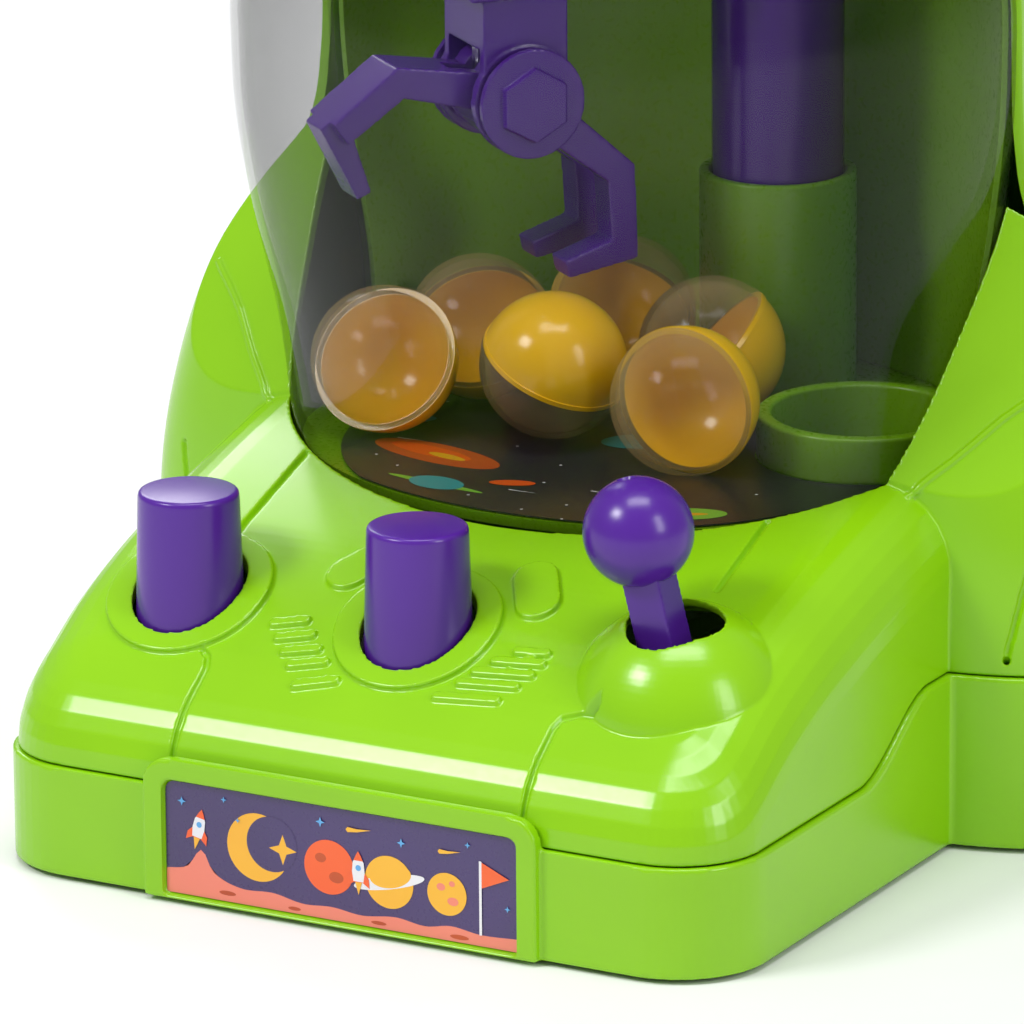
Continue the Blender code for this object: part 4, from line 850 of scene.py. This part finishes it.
def build_turned():
    """The round pieces: chute ring, tower, push buttons, feet and lid."""
    low = FLOOR_TOP + GAP
    rim = CHUTE_RIM_Z
    collar = [(22.7, rim), (22.7, low), (20.7, low), (20.7, 60), (19.4, 60), (19.4, rim)]
    stand_in(lathe("chute_collar", collar, CHUTE, 0.9), "chute_ring")
    top = SOCKET_TOP
    socket = [(17.2, top), (17.2, low), (12.6, low), (12.6, low + 2), (14.9, low + 2), (14.9, top)]
    stand_in(lathe("tower_socket", socket, MAST, 0.9), "mast_socket")
    foot, top = FLOOR_TOP + 2.7, TUBE_TOP
    pipe = [(14.5, top), (14.5, foot), (6.4, foot), (6.4, foot + 2), (12.7, foot + 2), (12.7, top)]
    stand_in(lathe("tower_tube", pipe, MAST, 0.4), "mast_tube")
    top = PLUNGER_TOP
    cap = [(0, top), (10.6, top - 0.05), (10.75, top - 2.4), (11.5, 49.5), (9.8, 49.5),
           (8.8, top - 2.6), (4.2, top - 2.6), (4.2, 35.7), (0, 35.7)]
    for label, x in PLUNGER_XS.items():
        stand_in(lathe(label + "_push_button", cap, (x, PLUNGER_DEPTH), 1.3), label + "_plunger")
    pad = [(0, 2.2), (7.6, 2.2), (7.0, 0.0), (3.4, 0.0), (3.0, 0.5), (0, 0.5)]
    for index, place in enumerate(FEET, 1):
        stand_in(lathe("foot_pad_%d" % index, pad, place, 0.3, 48), "rubber_foot_%d" % index)
    z = LID_SEAT_Z + GAP
    cover = [(0, z + 9.0), (14, z + 8.4), (25, z + 6.0), (33, z + 2.6), (36.3, z), (25.0, z),
             (25.0, z - 3.3), (23.0, z - 3.3), (23.0, z + 1.2), (0, z + 6.0)]
    lid = lathe("top_lid", cover, (0, BALL_CENTRE[0]), 0.6)
    join(lid, box("tongue", (-6, 156, z), (6, LID_AXIS[0], z + 3.4)),
         prism("knuckle", circle(LID_AXIS, KNUCKLE_R, 32), (-6, 6), "DZ"))
    cut(lid, prism("bore", circle(LID_AXIS, LID_BORE_R, 24), (-8, 8), "DZ"))
    stand_in(lid, "filler_lid")


def build_floor():
    inset = DOME_WALL + 0.4
    floor = loft("play_floor", [dome_loop(z, inset) for z in (FLOOR_TOP - FLOOR_WALL, FLOOR_TOP)])
    cut(floor, disc("chute_hole", CHUTE, 21.0, 60, 80), disc("mast_hole", MAST, 12.6, 60, 80))
    stand_in(floor, "playfield_floor")


def build_capsules():
    for index, (x, depth, tilt, spin) in enumerate(CAPSULES, 1):
        place = Matrix.Translation(at(x, depth, CAPSULE_Z)) \
            @ Matrix.Rotation(math.radians(spin), 4, "Z") \
            @ Matrix.Rotation(math.radians(tilt), 4, "X")
        for kind, sign in (("clear", 1), ("yellow", -1)):
            seam = SEAM_GAP * sign
            outer, inner = [], []
            for k in range(19):
                a = math.radians(5 * k)
                outer.append((CAPSULE_R * math.cos(a),
                              seam + (CAPSULE_R - 0.15) * math.sin(a) * sign))
                inner.append((CAPSULE_INNER_R * math.cos(a),
                              seam + (CAPSULE_INNER_R - 0.15) * math.sin(a) * sign))
            lip = [(CAPSULE_R, seam + 1.1 * sign), (LIP_R, seam + 1.0 * sign), (LIP_R, seam)]
            crown = [p for p in outer[:0:-1] if abs(p[1]) > LIP_CLEAR_Z]
            crown[0] = (0.0, crown[0][1])
            inner[-1] = (0.0, inner[-1][1])
            profile = crown + lip + [(CAPSULE_INNER_R, seam)] + inner[1:]
            half = lathe("capsule_%d_%s" % (index, kind), profile, steps=72)
            half.data.transform(place @ Matrix.Translation(-at(0, 0, 0)))
            stand_in(half, "capsule_%d_%s_half" % (index, kind))


def build_springs():
    """Finer return springs."""
    low = SPRING_SEAT + SPRING_WIRE_R
    high = SPRING_SEAT + SPRING_LENGTH - SPRING_WIRE_R
    for label, x in PLUNGER_XS.items():
        count = SPRING_TURNS * TURN_STEPS
        points = []
        for i in range(count + 1):
            a = 2 * math.pi * i / TURN_STEPS
            points.append(at(x + SPRING_R * math.cos(a), PLUNGER_DEPTH + SPRING_R * math.sin(a),
                             low + (high - low) * i / count))
        spring = tube(label + "_coil", points, SPRING_WIRE_R)
        stand_in(spring, label + "_return_spring")
        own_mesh(spring)


def build_joystick():
    """The stick's ball with a dimple at its top and a socket below."""
    middle = JOY[2] + KNOB_RISE
    profile = [(0, middle + 10.7), (1.6, middle + 10.75), (2.0, middle + 11.3),
               (2.6, middle + 11.25)]
    for k in range(24):
        a = math.radians(74 - 6.4 * k)
        profile.append((KNOB_R * math.cos(a), middle + KNOB_R * math.sin(a)))
    profile += [(4.2, middle - 10.75), (0, middle - 10.75)]
    knob = lathe("stick_ball", profile, JOY[:2])
    x, depth, z = JOY
    cut(knob, box("socket", (x - 4.5, depth - 4.5, z + 10), (x + 4.5, depth + 4.5, z + 28.3)))
    turn_about(knob, JOY, "Y", -JOY_LEAN_DEG)
    stand_in(knob, "joystick_knob")


# --- printed art ---------------------------------------------------------------------
STAR_WAIST = 0.38
LABEL_BOX, LABEL_CORNER_R, LABEL_SPAN = (-41.6, 41.6, 2.2, 26.6), 2.2, (-0.7, -0.4)
RIDGE = [(-41.6, 7.4), (-36.5, 8.6), (-33.8, 12.2), (-32.6, 12.2), (-30.5, 8.2), (-24, 5.6),
         (-16, 5.8), (-9, 4.6), (-2, 5.0), (5, 4.3), (13, 5.2), (20, 4.4), (26, 5.4), (33, 4.6),
         (41.6, 5.0)]
CRATERS = ((-27, 4.0, 2.0, 0.5), (-11, 3.2, 1.5, 0.4), (9, 3.3, 1.8, 0.4), (28, 3.3, 2.2, 0.5))
MOON = (("amber", (-19.5, 15.2, 7.4, 7.4)), ("night", (-16.2, 16.4, 6.0, 6.0)))
PLANETS = (
    ("orange", (-2.6, 13.6, 5.9, 5.9)), ("rust", (-4.6, 15.4, 1.3, 1.0)),
    ("rust", (-0.9, 11.6, 1.7, 1.2)), ("amber", (11.6, 12.6, 5.7, 5.7)),
    ("white", (11.6, 12.6, 8.6, 1.5, 14)), ("amber", (11.9, 14.0, 5.0, 2.6, 14)),
    ("amber", (25.2, 12.2, 4.6, 4.6)), ("coral", (23.8, 13.6, 1.0, 0.8)),
    ("coral", (26.6, 10.8, 1.3, 0.9)), ("coral", (26.4, 14.6, 0.7, 0.6)),
)
LABEL_STARS = ((-37.6, 22.6, 1.0), (-27.5, 24.4, 0.7), (-4.5, 23.2, 1.1), (14.6, 21.6, 1.0),
               (39.4, 11.2, 0.7), (30.2, 23.6, 0.7), (-24.2, 20.4, 0.6))
SHEET_CENTRE, SHEET_R, SHEET_WALL = (0, 125.7), 62.0, 0.3
FLOOR_SHAPES = (
    ("rust", (-33, 100, 17, 6.0, -12)), ("orange", (-35, 101, 11, 3.0, -12)),
    ("amber", (-30, 99, 5, 1.4, -12)), ("leaf", (-22.5, 80.5, 12.5, 1.2, -8)),
    ("teal", (-22.5, 81, 6.6, 4.2, -8)), ("leaf", (34, 84.5, 10, 4.2, 28)),
    ("amber", (35, 84.8, 5, 1.0, 28)), ("amber", (20, 84, 2.6, 1.5)),
    ("orange", (20.4, 84.4, 1.3, 0.8)), ("teal", (2, 128, 9, 5.5, 30)),
    ("orange", (-8, 88, 5, 2.0, 20)), ("sky", (-50, 120, 5, 2.6, 40)),
)
FLOOR_STARS = ((-12, 76), (3, 72), (10, 79), (-36, 88), (27, 95), (-5, 104), (42, 104), (-44, 93),
               (14, 69.5), (-2, 91), (-50, 135), (34, 165), (-20, 112))
FLOOR_COMETS = ((-6, 83), (10, 90), (-46, 106))


def star(cx, cy, r):
    points = []
    for i in range(8):
        a = math.pi / 4 * i
        reach = r if i % 2 == 0 else r * STAR_WAIST
        points.append((cx + reach * math.cos(a), cy + reach * math.sin(a)))
    return points


def oval(cx, cy, a, b, turn=0.0, count=48):
    t = math.radians(turn)
    return [(cx + a * math.cos(u) * math.cos(t) - b * math.sin(u) * math.sin(t),
             cy + a * math.cos(u) * math.sin(t) + b * math.sin(u) * math.cos(t))
            for u in (2 * math.pi * i / count for i in range(count))]


def comet(x, y, length, thick):
    return [(x, y + thick / 2), (x + length * 0.4, y + thick * 0.35),
            (x + length, y + thick * 0.55), (x + length * 0.4, y - thick * 0.25),
            (x, y - thick / 2), (x - thick * 0.4, y)]


def rocket(x, y, s, lean):
    """A plain rocket with no face or mark on it."""
    t = math.radians(lean)

    def turned(points):
        return [(x + (px * math.cos(t) - py * math.sin(t)) * s,
                 y + (px * math.sin(t) + py * math.cos(t)) * s) for px, py in points]
    hull = [(-0.9, -2), (0.9, -2), (1.15, -0.4), (1.0, 1.2), (0, 3.0), (-1.0, 1.2), (-1.15, -0.4)]
    fins = [(-2.0, -2.9), (-0.8, -2.1), (0.8, -2.1), (2.0, -2.9), (1.9, -1.4), (1.0, -0.3),
            (-1.0, -0.3), (-1.9, -1.4)]
    nose = [(-0.85, 1.5), (0.85, 1.5), (0.45, 2.4), (0, 3.1), (-0.45, 2.4)]
    flame = [(-0.6, -2.1), (0.6, -2.1), (0.3, -3.2), (0, -4.2), (-0.3, -3.2)]
    return [("amber", turned(flame)), ("orange", turned(fins)), ("white", turned(hull)),
            ("orange", turned(nose)), ("sky", turned(oval(0, 0.3, 0.5, 0.5)))]


def print_art(name, shapes, lift, place):
    """Flat inks laid one over another, lift apart."""
    bm = bmesh.new()
    inks = sorted({ink for ink, _ in shapes})
    for layer, (ink, outline) in enumerate(shapes, 1):
        face = bm.faces.new([bm.verts.new(place(p, layer * lift)) for p in outline])
        face.material_index = inks.index(ink)
    bmesh.ops.triangulate(bm, faces=bm.faces[:])
    mesh = bpy.data.meshes.new(name)
    bm.to_mesh(mesh)
    bm.free()
    art = bpy.data.objects.new(name, mesh)
    bpy.context.scene.collection.objects.link(art)
    for ink in inks:
        mesh.materials.append(INKS[ink])
    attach(art, "housing")
    return art


def build_front_print():
    low_x, high_x, low_z, high_z = LABEL_BOX
    outline = arch_outline(high_x, low_z, high_z, LABEL_CORNER_R)
    plate = prism("front_label", outline, LABEL_SPAN)
    stand_in(plate, "front_sticker")
    hills = [(low_x + (high_x - low_x) * i / 80, low_z) for i in range(81)]
    hills += [(x, ease_rows(RIDGE, x)[0]) for x, _ in reversed(hills)]
    shapes = [("coral", hills)] + [("rust", oval(*row)) for row in CRATERS]
    shapes += [(ink, oval(*row)) for ink, row in MOON]
    shapes.append(("amber", star(-13.6, 15.6, 3.3)))
    shapes += [(ink, oval(*row)) for ink, row in PLANETS]
    shapes += rocket(-33.6, 17.6, 1.25, -12) + rocket(4.4, 14.2, 1.3, 0)
    shapes += [("white", [(32.8, 4.6), (33.4, 4.6), (33.4, 20.6), (32.8, 20.6)]),
               ("orange", [(33.4, 20.4), (33.4, 14.8), (39.8, 17.6)])]
    shapes += [("sky", star(*row)) for row in LABEL_STARS]
    shapes += [("amber", comet(2.0, 22.6, 5.6, 1.1)), ("amber", comet(23.6, 21.3, 5.0, 1.0))]
    print_art("front_label_print", shapes, 0.008,
              lambda p, lift: at(p[0], LABEL_SPAN[0] - 0.01 - lift, p[1]))


def build_floor_print():
    low = FLOOR_TOP + GAP
    high = low + SHEET_WALL
    sheet = loft("floor_sheet", [dome_loop(z, DOME_WALL + 0.8) for z in (low, high)])
    boolean(sheet, disc("round", SHEET_CENTRE, SHEET_R, 60, 90, 180), "INTERSECT")
    cut(sheet, disc("chute", CHUTE, 23.0, 60, 90), disc("mast", MAST, 17.5, 60, 90))
    stand_in(sheet, "floor_decal")
    shapes = [(ink, oval(*row)) for ink, row in FLOOR_SHAPES]
    shapes += [("white", oval(x, d, 0.35, 0.35, 0, 10)) for x, d in FLOOR_STARS]
    shapes += [("white", comet(x, d, 7, 0.5)) for x, d in FLOOR_COMETS]
    print_art("floor_sheet_print", shapes, 0.01,
              lambda p, lift: at(p[0], p[1], high + 0.01 + lift))


# --- camera, floor and lights -----------------------------------------------------------
CAMERA_ANGLES = (28.634, 16.752, -0.354)  # degrees: azimuth, elevation, roll
CAMERA_TARGET, CAMERA_DISTANCE_M = (0, 100, 70), 2.05
SENSOR_WIDTH, LENS, LENS_SHIFT, CLIP_M = 36.0, 338.8, (-0.0591, -0.0302), (0.05, 50.0)
FLOOR_HALF_M, SKY_STRENGTH = 6.0, 0.36
LIGHT_AIM_M = Vector((0, 0, 0.08))
SOFTBOXES = (  # name, place and size in metres, watts
    ("key", (-0.75, -1.10, 1.30), (0.55, 0.40), 15.5),
    ("side", (1.35, -0.35, 0.75), (0.35, 0.80), 6.5),
    ("top", (0.15, -0.25, 1.60), (1.00, 0.45), 12.0),
    ("rim", (-0.90, 0.90, 0.90), (0.60, 0.60), 6.0),
)


def build_stage():
    bpy.context.scene.view_settings.view_transform = "Standard"
    azimuth, elevation, roll = (math.radians(a) for a in CAMERA_ANGLES)
    back = Vector((math.sin(azimuth) * math.cos(elevation),
                   -math.cos(azimuth) * math.cos(elevation), math.sin(elevation)))
    right = Vector((math.cos(azimuth), math.sin(azimuth), 0))
    up = back.cross(right)
    right, up = (right * math.cos(roll) + up * math.sin(roll),
                 up * math.cos(roll) - right * math.sin(roll))
    camera = bpy.data.objects.new("camera", bpy.data.cameras.new("camera"))
    bpy.context.scene.collection.objects.link(camera)
    camera.matrix_world = Matrix((right, up, back)).transposed().to_4x4()
    camera.location = at(*CAMERA_TARGET) + back * CAMERA_DISTANCE_M
    camera.data.sensor_width, camera.data.lens = SENSOR_WIDTH, LENS
    camera.data.shift_x, camera.data.shift_y = LENS_SHIFT
    camera.data.clip_start, camera.data.clip_end = CLIP_M
    bpy.context.scene.camera = camera

    bm = bmesh.new()
    bmesh.ops.create_grid(bm, x_segments=1, y_segments=1, size=FLOOR_HALF_M)
    floor = to_object("floor", bm)
    floor.data.materials.append(moulded("studio_floor", (0.86, 0.86, 0.86), (0.84, 0.84, 0.84),
                                        0.6))

    world = bpy.context.scene.world or bpy.data.worlds.new("studio")
    bpy.context.scene.world = world
    world.use_nodes = True
    sky = world.node_tree.nodes["Background"]
    sky.inputs["Color"].default_value = (0.95, 0.97, 1.0, 1.0)
    sky.inputs["Strength"].default_value = SKY_STRENGTH

    for name, place, size, power in SOFTBOXES:
        light = bpy.data.lights.new(name, "AREA")
        light.shape = "RECTANGLE"
        light.size, light.size_y = size
        light.energy = power
        lamp = bpy.data.objects.new(name, light)
        bpy.context.scene.collection.objects.link(lamp)
        lamp.location = place
        aim = LIGHT_AIM_M - Vector(place)
        lamp.rotation_euler = aim.to_track_quat("-Z", "Y").to_euler()


SOFT_COPIES = (  # node, piece, voxel, smoothing passes, share of faces kept
    ("claw_head", "claw_frame", 0.45, 3, 0.5),
    ("moving_jaw", "claw_jaw", 0.4, 3, 0.5),
    ("boom", "arm_housing", 0.55, 3, 0.4),
    ("hub_cap_near", "claw_cap_near", 0.3, 2, 0.5),
    ("hub_cap_far", "claw_cap_far", 0.3, 2, 0.5),
    ("joystick_stem", "stick_shaft", 0.4, 2, 0.5),
    ("prize_door", "prize_flap", 0.4, 2, 0.5),
)

build_stage()
build_control_deck()
build_back_shell()
build_dome()
build_liner()
build_tray()
build_turned()
build_floor()
build_capsules()
build_springs()
build_joystick()
build_front_print()
build_floor_print()
for soft_node, piece, voxel, passes, keep in SOFT_COPIES:
    soft_copy(soft_node, piece, voxel, passes, keep)
